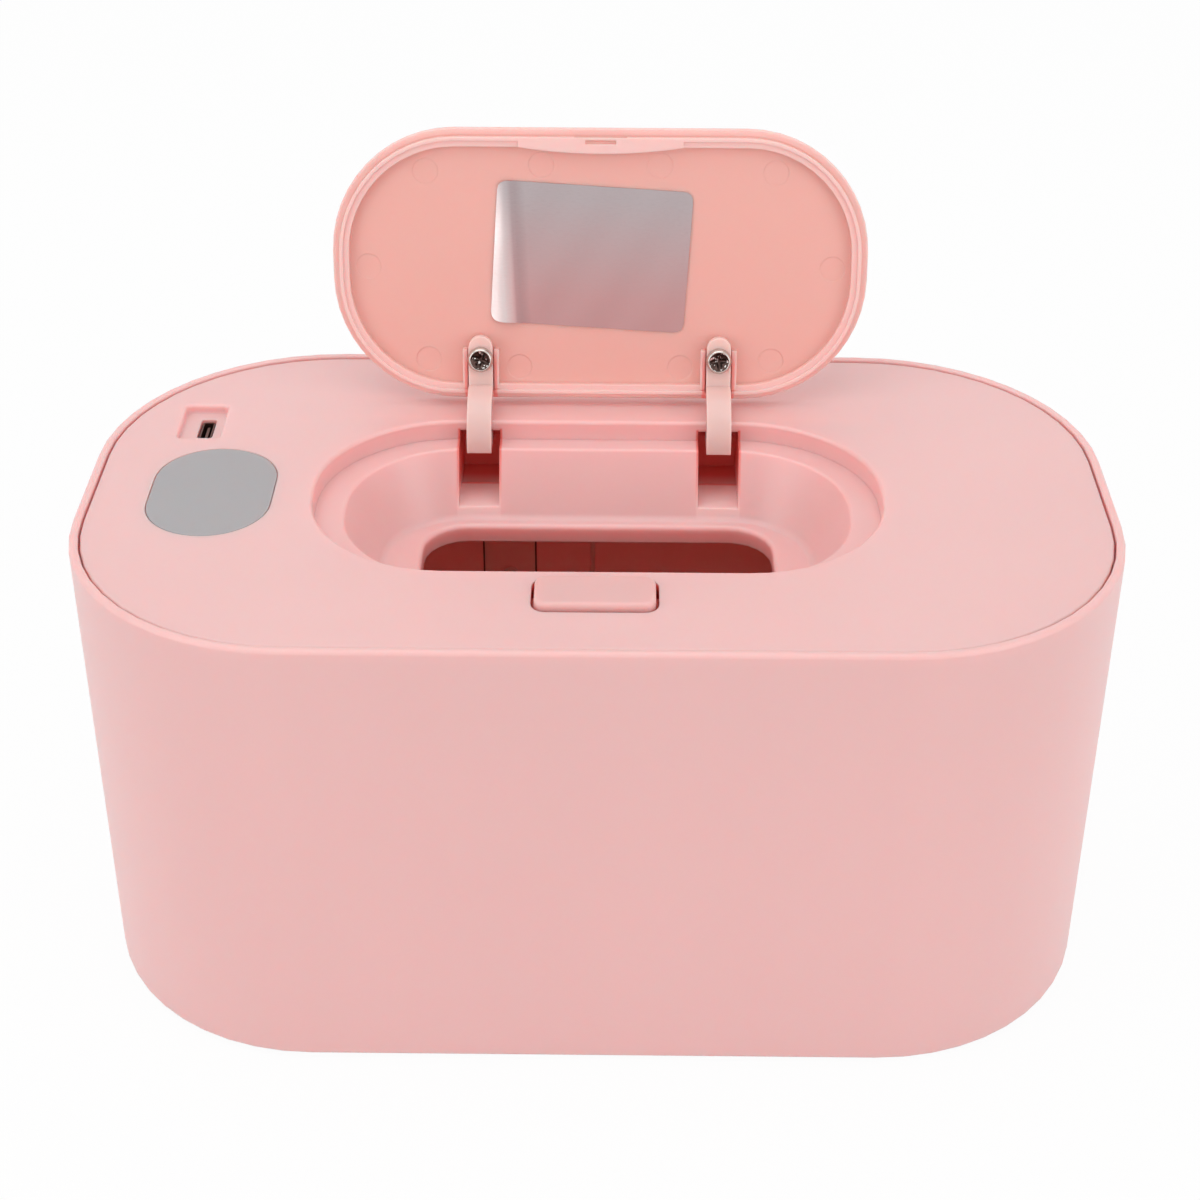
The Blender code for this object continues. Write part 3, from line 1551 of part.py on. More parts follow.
def make_shaft_group(paints, pivot):
    """The shaft turns with the lid: its clips, and the collar that the spring's moving leg bears on."""
    shaft = rod_x(shaft_radius, -shaft_half_length, shaft_half_length, 0.0, 0.0)
    finish_object("hinge_shaft", shaft, paints["steel"], pivot)
    clip_x = arm_x + pocket_half_width + pocket_wall + fit_gap
    for name, side in (("left", -1), ("right", 1)):
        ends = sorted((side * clip_x, side * (clip_x + shaft_clip_thickness)))
        clip = finish_object(
            "shaft_clip_" + name, rod_x(shaft_clip_radius, ends[0], ends[1], 0.0, 0.0), paints["steel"], pivot
        )
        cut(clip, rod_x(shaft_radius + shaft_gap, ends[0] - overrun, ends[1] + overrun, 0.0, 0.0))
        cut(
            clip,
            block(
                (ends[0] - overrun, -shaft_radius * clip_mouth_share, -shaft_clip_radius - overrun),
                (ends[1] + overrun, shaft_radius * clip_mouth_share, 0.0),
            ),
        )
    low_x = torsion_turns * torsion_pitch / 2 + torsion_wire_radius + fit_gap
    collar = finish_object(
        "spring_collar", rod_x(collar_radius, low_x, low_x + collar_length, 0.0, 0.0), paints["arm"], pivot
    )
    cut(collar, rod_x(shaft_radius + shaft_gap, low_x - overrun, low_x + collar_length + overrun, 0.0, 0.0))


def make_torsion_spring(paint):
    """A coil round the shaft: one leg lies on the panel's shelf, the other end is at the collar."""
    length = torsion_turns * torsion_pitch
    coil = coil_route(torsion_coil_radius, torsion_turns, torsion_pitch)
    route = [(x - length / 2, hinge_y + y, hinge_z + z) for x, y, z in coil]
    first = route[0]
    leg_x = first[0] - torsion_wire_radius
    leg_y = first[1] + torsion_coil_radius + torsion_leg
    mesh = swept_tube([(leg_x, leg_y, first[2])] + route, torsion_wire_radius, coil_sides)
    return finish_object("torsion_spring", mesh, paint)


def make_lid_group(paints):
    """Everything that turns on the hinge, made as if shut and turned open about the hinge axis."""
    pivot = bpy.data.objects.new("lid_axis", None)
    bpy.context.scene.collection.objects.link(pivot)
    pivot.location = (0.0, hinge_y, hinge_z)
    pivot.rotation_euler = (-lid_open_angle, 0.0, 0.0)
    make_lid(paints["pink"], pivot)
    make_label(paints["foil"], pivot)
    make_shaft_group(paints, pivot)
    sizes = (lid_screw_head_radius, lid_screw_head_height, lid_screw_shank_radius, lid_screw_shank_length)
    for name, x in arm_centres():
        make_arm("hinge_arm_" + name, x, paints["arm"], pivot)
        place = (x, -lid_screw_from_hinge, -tab_face_drop - fit_gap)
        screw = make_screw("arm_screw_" + name, paints["steel"], sizes, place, round_steps)
        screw.parent = pivot


def main():
    clear_scene()
    paints = make_materials()
    make_tub(paints["pink"])
    make_feet(paints["rubber"])
    make_top_panel(paints["pink"])
    make_heater(paints)
    make_inner_cover(paints["inner"])
    make_cover_screws(paints["steel"])
    make_display_and_board(paints)
    make_leads(paints)
    make_button(paints["pink"])
    make_latch(paints["arm"])
    make_button_springs(paints["steel"])
    make_torsion_spring(paints["steel"])
    make_lid_group(paints)


main()
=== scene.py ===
"""A baby wipe warmer in pink moulded plastic, with its lid open, on a white studio floor."""

import json
import math

import bmesh
import bpy
from mathutils import Matrix, Vector


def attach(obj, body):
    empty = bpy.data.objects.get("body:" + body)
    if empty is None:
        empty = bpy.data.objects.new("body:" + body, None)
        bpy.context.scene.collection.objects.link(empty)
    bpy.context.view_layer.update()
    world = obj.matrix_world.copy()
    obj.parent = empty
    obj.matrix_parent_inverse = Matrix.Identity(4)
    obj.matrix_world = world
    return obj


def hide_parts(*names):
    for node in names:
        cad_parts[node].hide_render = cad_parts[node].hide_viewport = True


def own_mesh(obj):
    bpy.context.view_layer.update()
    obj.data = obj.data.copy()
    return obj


MM = 0.001

# The camera stands in front of the warmer and looks down on it. Lens and sensor are in millimetres
camera_place_mm = (4.3, -404.8, 333.7)
camera_yaw = math.radians(-0.528)
camera_down = math.radians(32.74)
camera_roll = math.radians(0.17)
camera_lens = 69.0
camera_sensor = 36.0
camera_nearest = 10.0 * MM

# Each softbox: its name, place, what it faces, width and height in metres, and its power in watts
softboxes = (
    ("top_softbox", (-0.1, 0.05, 0.95), (0.0, 0.0, 0.08), 1.1, 0.9, 3.6),
    ("left_softbox", (-1.1, -0.75, 0.5), (0.0, 0.0, 0.06), 0.8, 0.9, 4.7),
    ("right_softbox", (1.1, -0.75, 0.5), (0.0, 0.0, 0.06), 0.8, 0.9, 5.1),
)

# The room: how strongly its white lights the warmer, and how strongly gloss reflects it
room_light = 0.6
room_shine = 1.0

# The paper floor: its half width in metres, and the share of plain white that the eye and gloss see of it
floor_half_width = 6.0
floor_drop = 0.2 * MM
floor_fibre = 2.0 * MM
floor_roughness = 0.9
floor_eye_share = 0.95
floor_gloss_share = 0.65

# Colours of the plastics, and the tones painted over them: painted bounce light where a moulding's walls
# light one another, painted highlights, and painted shade
pink_body = "#ECBCBA"
pink_button = "#E3B3B0"
pink_lid_painted_bounce = "#ECB8AE"
pink_lid_skirt_painted_highlight = "#F3CDC8"
pink_inside_painted_bounce = "#FFBDB2"
red_painted_shade = "#FF7A72"
pink_pocket_floor_painted_light = "#FFC9C6"
pink_well_painted_bounce = "#F8BCBA"
pink_land_painted_bounce = "#F8BEBB"
red_painted_step_shade = "#7A2A22"
arm_cream = "#E0C3BD"
arm_tab_painted_pink = "#F2CAC3"
window_grey = "#ABA1A3"

# Colours of the metals, with the painted shade, glints and reflections laid on some of them
steel_bright = "#C9C4BE"
steel_recess_painted_shade = "#4A3A36"
steel_painted_glint = "#F4F1EE"
steel_painted_dark_shade = "#5B3F3C"
steel_inlet_painted_shade = "#6E544F"
aluminium_pale = "#C9C9CB"
foil_painted_pink_reflection = "#C89F9F"
foil_painted_grey_reflection = "#B5ABAD"
foil_painted_highlight = "#DFD2D1"
foil_painted_crease_shade = "#8E7678"

# Colours of the small parts and of the studio
# The shaft's red is painted shade: the dark red of the pockets round it
shaft_painted_red_shade = "#D8564E"
foot_grey = "#3B3939"
film_amber = "#8F5A1E"
board_green = "#1F6B3F"
part_black = "#1B1B1D"
lead_red = "#B3261E"
paper_white = "#FFFFFF"
paper_shade = "#E7E7E7"
paper_light = "#ECECEC"

# Moulded plastic glows a little inside, red furthest. The thin lid glows less far, and the milky arms glow
# more evenly in every colour
plastic_ior = 1.53
glow_share = 0.8
glow_radius = (1.0, 0.35, 0.28)
glow_reach = 3.5 * MM
lid_glow_reach = 1.6 * MM
arm_glow_radius = (1.0, 0.55, 0.45)

# Clouds in the colour follow the melt's flow through the mould, and are drawn out up the walls
flow_size = 40.0 * MM
flow_detail = 2.0
flow_ways = (1.0, 1.0, 0.35)
flow_tone_shares = (0.975, 1.025)
flow_gloss_swing = 0.03

# A spark-eroded grain is about 0.1 mm, which is too fine to show, so it is drawn five times as coarse
grain_size = 0.5 * MM
grain_detail = 1.0
grain_depth = 0.03 * MM
grain_strength = 0.06
window_grain_strength = 0.03

# A noise keeps near its middle, so gloss is spread between these two values of it. Each finer layer of a
# noise is this much as strong as the last
noise_low = 0.3
noise_high = 0.7
noise_roughness = 0.5

# How far the edges of a moulding are eased in its shading
moulding_edge = 0.3 * MM
arm_edge = 0.2 * MM
small_edge = 0.15 * MM
edge_samples = 4

# Roughness of each plastic: satin, and duller on the inner cover
body_roughness = 0.36
lid_roughness = 0.38
button_roughness = 0.38
inner_cover_roughness = 0.45
arm_roughness = 0.38
slide_roughness = 0.40
window_roughness = 0.42

# Marks on metal are hundredths of a millimetre wide, and are drawn as coarse as they need to show.
# Each finish gives the roughness, the width of the marks, and how far they are squeezed along each way
nickel_finish = (0.2, 0.4 * MM, (1.0, 1.0, 1.0))
recess_finish = (0.35, 0.2 * MM, (1.0, 1.0, 1.0))
spring_steel_finish = (0.45, 0.4 * MM, (1.0, 1.0, 1.0))
drawn_finish = (0.4, 0.3 * MM, (1.0, 1.0, 6.0))
brushed_finish = (0.35, 0.5 * MM, (1.0, 14.0, 1.0))
foil_finish = (0.45, 1.2 * MM, (1.0, 1.0, 4.0))
fine_detail = 3.0
metal_tone_shares = (0.92, 1.06)
metal_gloss_shares = (0.8, 1.25)
metal_mark_depth = 0.02 * MM
metal_mark_strength = 0.08
foil_mark_strength = 0.05

# Painted glints of bright steel over the screw's recess, which is painted dark as shade
glint_size = 1.0 * MM
glint_roughness = 0.6
glint_low = 0.59
glint_high = 0.64

# Specks in small parts are finer than this, and are drawn as coarse as they need to show.
# Each finish gives the roughness and the size of the specks
shaft_finish = (0.5, 0.6 * MM)
rubber_finish = (0.8, 0.4 * MM)
film_finish = (0.35, 1.2 * MM)
board_finish = (0.45, 0.5 * MM)
epoxy_finish = (0.5, 0.3 * MM)
silicone_finish = (0.55, 0.6 * MM)
speck_detail = 4.0
speck_tone_shares = (0.9, 1.1)
speck_depth = 0.05 * MM
speck_strength = 0.2

# The tub's plan, its wall and the heights between which its inside takes its painted bounce light
tub_half_length = 104.0 * MM
tub_half_depth = 60.2 * MM
tub_corner = 47.0 * MM
tub_skin = 1.7 * MM
tub_shade_bottom = 1.8 * MM
tub_shade_top = 97.7 * MM
tub_shade_edge = 0.2 * MM
tub_shade_fade = 2.0 * MM

# Below, a pair gives where a tone starts and where it is full. A pair of shares gives its strength at the two

# Painted shade: dark lines at the edges of the raised pad and rib on the tub's back wall, where the wall
# steps
wall_line_places = (-27.1 * MM, -15.3 * MM, -1.7 * MM)
wall_line_beside = (0.5 * MM, 0.3 * MM)
wall_line_near = (56.4 * MM, 56.8 * MM)
wall_line_far = (59.2 * MM, 58.8 * MM)
wall_line_low = (13.5 * MM, 14.5 * MM)
wall_line_high = (73.2 * MM, 72.2 * MM)

# Painted bounce light on the panel below its top: full on upright walls, faint on flat ledges
well_below_top = (99.7 * MM, 98.7 * MM)
well_upward = (0.95, 0.6)
well_upward_shares = (0.25, 1.0)

# Painted bounce light from the open lid on the panel's land behind the well
land_front = (27.0 * MM, 31.0 * MM)
land_back = (50.0 * MM, 40.0 * MM)
land_beside = (62.0 * MM, 40.0 * MM)

# How far each arm's middle lies to the side, and the front of the pockets' floors below the arms, which take
# painted light
arm_x = 25.5 * MM
pocket_floor_beside = (4.8 * MM, 4.5 * MM)
pocket_floor_front = (17.6 * MM, 18.4 * MM)
pocket_floor_top = (89.5 * MM, 88.5 * MM)

# The pockets' parts painted dark red as shade: sides, the step in the floor, and all that lies behind it
# under the land
pocket_beside = (4.9 * MM, 4.6 * MM)
pocket_below_top = (98.5 * MM, 98.0 * MM)
pocket_side_beside = (4.1 * MM, 4.2 * MM)
pocket_side_front = (18.6 * MM, 19.2 * MM)
pocket_side_deeper = (19.5 * MM, 25.0 * MM)
pocket_side_shares = (0.3, 1.0)
pocket_under_land = (28.6 * MM, 29.2 * MM)
pocket_floor_deeper = (29.4 * MM, 34.5 * MM)
pocket_floor_shares = (0.15, 1.0)
pocket_above_floor = (85.2 * MM, 88.0 * MM)
pocket_step_y = 28.9 * MM
pocket_step_beside = (0.6 * MM, 0.3 * MM)
pocket_step_shares = (0.0, 0.8)
pocket_step_top = (86.5 * MM, 86.0 * MM)
pocket_before_step = (23.0 * MM, 28.6 * MM)
pocket_before_step_shares = (0.0, 0.12)
pocket_before_step_end = (29.0 * MM, 28.6 * MM)

# The slot's collar, the hole that the button sits in, and the button's sides in it, all painted dark as shade
collar_below = (81.9 * MM, 80.5 * MM)
collar_shares = (0.0, 0.5)
button_y = -39.7 * MM
button_hole_beside = (12.7 * MM, 12.4 * MM)
button_hole_before = (6.5 * MM, 6.2 * MM)
button_hole_below = (99.8 * MM, 99.3 * MM)
button_side_below = (99.5 * MM, 98.9 * MM)

# The lid's hinge and opening, and the closed lid's outline about the middle of its field
hinge_y = 33.9 * MM
hinge_z = 95.5 * MM
lid_angle = math.radians(-102.0)
lid_field_point = (0.0, -1.3 * MM, 98.1 * MM)
lid_rightward = (1.0, 0.0, 0.0)
lid_to_hinge = (0.0, 1.0, 0.0)
lid_outward = (0.0, 0.0, -1.0)
lid_half_length = 56.7 * MM
lid_half_depth = 29.0 * MM
lid_corner = 26.2 * MM
lid_flange_width = 1.5 * MM
lid_flange_edge = 0.3 * MM
lid_flange_shares = (0.0, 0.7)
lid_underside_reach = (-1.5 * MM, -0.7 * MM)
lid_skirt_reach = (0.4 * MM, 1.9 * MM)

# The arms' seats on the lid, painted in shade, and the height from which an arm is its tab, painted lighter
# and pinker
arm_seat_beside = (3.6 * MM, 3.3 * MM)
arm_seat_down = (17.0 * MM, 21.0 * MM)
arm_seat_shares = (0.0, 0.7)
arm_tab_above = (104.0 * MM, 106.5 * MM)

# The foil label under the lid, in the closed lid's place
label_half_length = 20.6 * MM
label_half_depth = 15.1 * MM
label_corner = 2.0 * MM
label_middle = (-1.9 * MM, -3.3 * MM)
label_turn = math.radians(3.4)
label_back_z = 98.04 * MM
label_sheet = 0.12 * MM
label_steps = (40, 30)

# The blister along the label's left edge: its height and width at the top and bottom, and where its crest is
label_curl_top = 0.4 * MM
label_curl_low = 0.9 * MM
label_curl_run_top = 4.0 * MM
label_curl_run_low = 7.5 * MM
label_curl_crest = 0.4

# The slow waves over the label: their height, and their radians from its middle to its side and to its end
label_wave = 0.12 * MM
label_wave_across = 5.0
label_wave_down = 2.0

# Painted reflections and shade on the foil: grey towards the lid's free edge, a painted highlight on the
# blister, painted shade in the crease beside it
foil_grey_shares = (0.6, -0.8)
foil_crest = (1.4 * MM, 4.6 * MM)
foil_crease_start = (0.3 * MM, 1.3 * MM)
foil_crease_end = (4.2 * MM, 2.0 * MM)
foil_crease_shares = (0.0, 0.35)
foil_bright_reach = (1.1 * MM, -1.3 * MM)
foil_bright_depth_shares = (-1.0, -0.3)
foil_bright_shares = (0.25, 1.0)

# The pan-head screws that hold the arms
screw_y = 18.4 * MM
screw_seat_z = 95.3 * MM
screw_head_radius = 2.75 * MM
screw_head_height = 1.5 * MM
screw_turn_left = math.radians(22.0)
screw_turn_right = math.radians(-8.0)
screw_sides = 64
screw_lobes = 4

# The head from its seat to the rim of its recess, then down the recess, from the ring numbered after them.
# Each ring gives its share of the head's radius, its share of the head's height, and how deep its star is cut
screw_rings = (
    (0.97, 0.0, 0.0),
    (1.0, 0.12, 0.0),
    (0.99, 0.34, 0.0),
    (0.95, 0.56, 0.0),
    (0.90, 0.74, 0.0),
    (0.84, 0.86, 0.0),
    (0.79, 0.92, 0.0),
    (0.76, 0.88, 0.0),
    (0.72, 0.76, 0.10),
    (0.66, 0.66, 0.50),
    (0.52, 0.34, 0.60),
    (0.26, 0.16, 0.40),
    (0.06, 0.10, 0.0),
)
screw_recess_ring = 7

# Broken edges of the finished pieces
weld_reach = 0.001 * MM
flat_angle = math.radians(0.5)
edge_angle = math.radians(32.0)
broken_edge = 0.15 * MM
stamped_edge = 0.1 * MM
shell_edge = 0.05 * MM
edge_segments = 2
shading_weight = 50

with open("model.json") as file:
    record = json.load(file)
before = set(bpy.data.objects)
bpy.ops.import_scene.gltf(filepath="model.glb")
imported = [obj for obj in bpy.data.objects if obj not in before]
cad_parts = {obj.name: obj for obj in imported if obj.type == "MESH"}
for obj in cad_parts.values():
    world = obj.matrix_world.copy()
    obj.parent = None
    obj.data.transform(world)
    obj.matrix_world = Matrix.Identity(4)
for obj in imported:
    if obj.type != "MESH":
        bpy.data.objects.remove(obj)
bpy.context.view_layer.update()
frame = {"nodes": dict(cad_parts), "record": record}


def linear(hex_colour):
    """The linear colour of an sRGB hex value."""
    channels = [int(hex_colour[i : i + 2], 16) / 255 for i in (1, 3, 5)]
    turned = [c / 12.92 if c <= 0.04045 else ((c + 0.055) / 1.055) ** 2.4 for c in channels]
    return (*turned, 1.0)


def scaled(colour, share):
    """A linear colour made lighter or darker."""
    return (*[min(channel * share, 1.0) for channel in colour[:3]], 1.0)


def add_node(tree, kind, inputs=(), output=0, **settings):
    """Adds a node with its settings. Its inputs are values or sockets, in order or by name or number.

    Returns one of its outputs, or the node itself where it has none.
    """
    node = tree.nodes.new("ShaderNode" + kind)
    for name, value in settings.items():
        setattr(node, name, value)
    for name, value in inputs.items() if isinstance(inputs, dict) else enumerate(inputs):
        if isinstance(value, bpy.types.NodeSocket):
            tree.links.new(value, node.inputs[name])
        else:
            node.inputs[name].default_value = value
    return node.outputs[output] if node.outputs else node


def share_inside(tree, *limits):
    """How much of a tone a place takes: the product of its limits.

    A limit is a distance, the pair where the tone starts and is full, and the pair of shares there if those
    aren't none and all.
    """
    share = None
    for value, reach, *shares in limits:
        none, full = shares[0] if shares else (0.0, 1.0)
        ends = {"From Min": reach[0], "From Max": reach[1], "To Min": none, "To Max": full}
        limit = add_node(tree, "MapRange", {"Value": value, **ends})
        share = limit if share is None else add_node(tree, "Math", (share, limit), operation="MULTIPLY")
    return share


def stronger(tree, *shares):
    """The strongest of several shares of a tone."""
    strongest = shares[0]
    for share in shares[1:]:
        strongest = add_node(tree, "Math", (strongest, share), operation="MAXIMUM")
    return strongest


def beside(tree, value, middle=0.0):
    """How far a place lies from a middle, to either side of it."""
    away = add_node(tree, "Math", (value, middle), operation="SUBTRACT")
    return add_node(tree, "Math", (away,), operation="ABSOLUTE")


def beside_arm(tree, x):
    """How far a place lies to the side of the nearer arm's middle."""
    return beside(tree, beside(tree, x), arm_x)


def beyond_corner(tree, x, y, half_x, half_y, corner):
    """How far a place lies from the box between the corners' centres of a rounded outline."""
    squares = []
    for value, half in ((x, half_x), (y, half_y)):
        past = add_node(tree, "Math", (beside(tree, value), half - corner), operation="SUBTRACT")
        past = add_node(tree, "Math", (past, 0.0), operation="MAXIMUM")
        squares.append(add_node(tree, "Math", (past, past), operation="MULTIPLY"))
    square = add_node(tree, "Math", squares, operation="ADD")
    return add_node(tree, "Math", (square,), operation="SQRT")


def tub_inside_painted_bounce(tree, place):
    """The inside of the tub, painted deeper and redder for the light that goes from wall to wall there."""
    x, y, z = add_node(tree, "SeparateXYZ", (place,)).node.outputs
    away = beyond_corner(tree, x, y, tub_half_length, tub_half_depth, tub_corner)
    inner_face = tub_corner - tub_skin
    return share_inside(
        tree,
        (away, (inner_face, inner_face - tub_shade_edge)),
        (z, (tub_shade_bottom, tub_shade_bottom + tub_shade_edge)),
        (z, (tub_shade_top, tub_shade_top - tub_shade_fade)),
    )


def wall_step_painted_shade(tree, place):
    """Painted shade along the edges of the raised pad and rib on the tub's back wall, where the wall steps.
    """
    x, y, z = add_node(tree, "SeparateXYZ", (place,)).node.outputs
    lines = [share_inside(tree, (beside(tree, x, line_x), wall_line_beside)) for line_x in wall_line_places]
    on_pad = share_inside(
        tree,
        (z, wall_line_low),
        (z, wall_line_high),
        (y, wall_line_near),
        (y, wall_line_far),
    )
    return add_node(tree, "Math", (stronger(tree, *lines), on_pad), operation="MULTIPLY")


def well_painted_bounce(tree, place):
    """Painted bounce light on the walls below the panel's top, in the well and the recesses, which light one
    another.
    """
    height = add_node(tree, "SeparateXYZ", (place,), output="Z")
    facing = add_node(tree, "TexCoord", output="Normal")
    upward = add_node(tree, "SeparateXYZ", (facing,), output="Z")
    return share_inside(tree, (height, well_below_top), (upward, well_upward, well_upward_shares))


def land_painted_lid_bounce(tree, place):
    """Painted bounce light on the panel's land behind the well, which the open lid stands over and lends its
    colour.
    """
    x, y, _ = add_node(tree, "SeparateXYZ", (place,)).node.outputs
    return share_inside(tree, (y, land_front), (y, land_back), (beside(tree, x), land_beside))


def pocket_floor_painted_light(tree, place):
    """Painted light on the front of the two pockets' floors, which the well's own light reaches."""
    x, y, z = add_node(tree, "SeparateXYZ", (place,)).node.outputs
    side = beside_arm(tree, x)
    return share_inside(tree, (side, pocket_floor_beside), (y, pocket_floor_front), (z, pocket_floor_top))


def pocket_painted_shade(tree, x, y, z):
    """Painted shade on the parts of the hinge pockets that light hardly reaches."""
    side = beside_arm(tree, x)
    above_floor = (z, pocket_above_floor)
    floor_or_wall = stronger(
        tree,
        share_inside(tree, (y, pocket_floor_deeper, pocket_floor_shares)),
        share_inside(tree, above_floor),
    )
    behind_step = share_inside(tree, (y, pocket_under_land))
    under_land = add_node(tree, "Math", (behind_step, floor_or_wall), operation="MULTIPLY")
    by_step = stronger(
        tree,
        share_inside(tree, (beside(tree, y, pocket_step_y), pocket_step_beside, pocket_step_shares)),
        share_inside(tree, (y, pocket_before_step, pocket_before_step_shares), (y, pocket_before_step_end)),
    )
    low_down = share_inside(tree, (z, pocket_step_top))
    by_step = add_node(tree, "Math", (by_step, low_down), operation="MULTIPLY")
    on_side = share_inside(
        tree,
        (side, pocket_side_beside),
        above_floor,
        (y, pocket_side_deeper, pocket_side_shares),
        (y, pocket_side_front),
    )
    in_pocket = share_inside(tree, (side, pocket_beside), (z, pocket_below_top))
    dark = stronger(tree, under_land, by_step, on_side)
    return add_node(tree, "Math", (dark, in_pocket), operation="MULTIPLY")


def panel_hollows_painted_shade(tree, place):
    """Painted shade in the depths of the hinge pockets, on the slot's collar, and in the hole round the
    button.
    """
    x, y, z = add_node(tree, "SeparateXYZ", (place,)).node.outputs
    collar = share_inside(tree, (z, collar_below, collar_shares))
    hole = share_inside(
        tree,
        (beside(tree, x), button_hole_beside),
        (beside(tree, y, button_y), button_hole_before),
        (z, button_hole_below),
    )
    return stronger(tree, pocket_painted_shade(tree, x, y, z), collar, hole)


def button_sides_painted_shade(tree, place):
    """Painted shade on the button's sides, down in its hole."""
    height = add_node(tree, "SeparateXYZ", (place,), output="Z")
    return share_inside(tree, (height, button_side_below))


def from_closed_lid(point):
    """A point given on the closed lid, carried to where the open lid holds it."""
    y = point[1] - hinge_y
    z = point[2] - hinge_z
    turned_y = y * math.cos(lid_angle) - z * math.sin(lid_angle)
    turned_z = y * math.sin(lid_angle) + z * math.cos(lid_angle)
    return Vector((point[0], hinge_y + turned_y, hinge_z + turned_z))


def lid_way(tree, place, way, origin=lid_field_point):
    """How far a place lies from a point of the lid along one way, both given on the closed lid."""
    start = tuple(from_closed_lid(origin))
    direction = tuple(from_closed_lid(way) - from_closed_lid((0.0, 0.0, 0.0)))
    away = add_node(tree, "VectorMath", (place, start), operation="SUBTRACT")
    return add_node(tree, "VectorMath", (away, direction), output="Value", operation="DOT_PRODUCT")


def lid_underside_painted_bounce(tree, place):
    """Painted bounce light on the lid's underside, where its skirt throws light back and forth and warms it.
    """
    return share_inside(tree, (lid_way(tree, place, lid_outward), lid_underside_reach))


def lid_skirt_painted_highlight(tree, place):
    """A painted highlight on the lid's thin skirt and rim, which stand proud of its field and let light
    through.
    """
    outward = lid_way(tree, place, lid_outward)
    across = lid_way(tree, place, lid_rightward)
    down = lid_way(tree, place, lid_to_hinge)
    away = beyond_corner(tree, across, down, lid_half_length, lid_half_depth, lid_corner)
    flange_start = lid_corner - lid_flange_width
    flange = (away, (flange_start, flange_start + lid_flange_edge), lid_flange_shares)
    return stronger(
        tree,
        share_inside(tree, (outward, lid_skirt_reach)),
        share_inside(tree, flange, (outward, lid_underside_reach)),
    )


def arm_seats_painted_shade(tree, place):
    """Painted shade on the lid between the ribs beside each arm, where the arm keeps the light off."""
    across = beside_arm(tree, lid_way(tree, place, lid_rightward))
    down = lid_way(tree, place, lid_to_hinge)
    outward = lid_way(tree, place, lid_outward)
    return share_inside(
        tree,
        (across, arm_seat_beside),
        (outward, lid_underside_reach),
        (down, arm_seat_down, arm_seat_shares),
    )


def arm_tabs_painted_light(tree, place):
    """Painted light on the arms' tabs, which lie on the lid: lighter, and pink with the lid's colour coming
    through.
    """
    height = add_node(tree, "SeparateXYZ", (place,), output="Z")
    return share_inside(tree, (height, arm_tab_above))


def new_material(name):
    """An empty material. Returns it, its tree, and the place of a point on the object."""
    made = bpy.data.materials.new(name)
    made.use_nodes = True
    made.node_tree.nodes.clear()
    return made, made.node_tree, add_node(made.node_tree, "TexCoord", output="Object")


def moulded(
    name,
    colour,
    roughness,
    painted_tones=(),
    edge=moulding_edge,
    grain=grain_strength,
    radius=glow_radius,
    reach=glow_reach,
):
    """Injection-moulded plastic: a satin skin with faint flow clouds, spark-eroded grain and eased edges."""
    made, tree, place = new_material(name)
    drawn_out = add_node(tree, "VectorMath", (place, flow_ways), operation="MULTIPLY")
    cloud = {"Vector": drawn_out, "Scale": 1 / flow_size, "Detail": flow_detail, "Roughness": noise_roughness}
    flow = add_node(tree, "TexNoise", cloud)
    dark, light = [scaled(linear(colour), share) for share in flow_tone_shares]
    tone = add_node(tree, "Mix", {0: flow, 6: dark, 7: light}, output=2, data_type="RGBA")
    # Painted bounce light, highlights and shade, each laid over the tone where its mask lies
    for mask, shade in painted_tones:
        tones = {0: mask(tree, place), 6: tone, 7: linear(shade)}
        tone = add_node(tree, "Mix", tones, output=2, data_type="RGBA")
    swing = (roughness - flow_gloss_swing, roughness + flow_gloss_swing)
    gloss = share_inside(tree, (flow, (noise_low, noise_high), swing))
    pores = {"Vector": place, "Scale": 1 / grain_size, "Detail": grain_detail, "Roughness": noise_roughness}
    height = add_node(tree, "TexNoise", pores)
    eased = add_node(tree, "Bevel", {"Radius": edge}, samples=edge_samples)
    skin = {"Height": height, "Strength": grain, "Distance": grain_depth, "Normal": eased}
    surface = {
        "Base Color": tone,
        "Roughness": gloss,
        "Normal": add_node(tree, "Bump", skin),
        "IOR": plastic_ior,
        "Subsurface Weight": glow_share,
        "Subsurface Radius": radius,
        "Subsurface Scale": reach,
    }
    add_node(tree, "OutputMaterial", (add_node(tree, "BsdfPrincipled", surface),))
    return made


def metal(name, colour, roughness, mark, ways, strength=metal_mark_strength, painted_light=None):
    """A plated or rolled metal: fine marks drawn along one way, and an uneven polish."""
    made, tree, place = new_material(name)
    drawn_out = add_node(tree, "VectorMath", (place, ways), operation="MULTIPLY")
    drag = {"Vector": drawn_out, "Scale": 1 / mark, "Detail": fine_detail, "Roughness": noise_roughness}
    marks = add_node(tree, "TexNoise", drag)
    dark, light = [scaled(linear(colour), share) for share in metal_tone_shares]
    tone = add_node(tree, "Mix", {0: marks, 6: dark, 7: light}, output=2, data_type="RGBA")
    # Painted reflections, glints and shade, where a piece is given them, laid over the tone
    if painted_light:
        tone = painted_light(tree, place, tone)
    swing = [roughness * share for share in metal_gloss_shares]
    gloss = share_inside(tree, (marks, (noise_low, noise_high), swing))
    skin = {"Height": marks, "Strength": strength, "Distance": metal_mark_depth}
    surface = {
        "Base Color": tone,
        "Roughness": gloss,
        "Normal": add_node(tree, "Bump", skin),
        "Metallic": 1.0,
    }
    add_node(tree, "OutputMaterial", (add_node(tree, "BsdfPrincipled", surface),))
    return made


def recess_painted_glints(tree, place, tone):
    """Painted glints of bright steel, scattered over the screw's recess."""
    spots = {"Vector": place, "Scale": 1 / glint_size, "Detail": fine_detail, "Roughness": glint_roughness}
    glints = share_inside(tree, (add_node(tree, "TexNoise", spots), (glint_low, glint_high)))
    tones = {0: glints, 6: tone, 7: linear(steel_painted_glint)}
    return add_node(tree, "Mix", tones, output=2, data_type="RGBA")


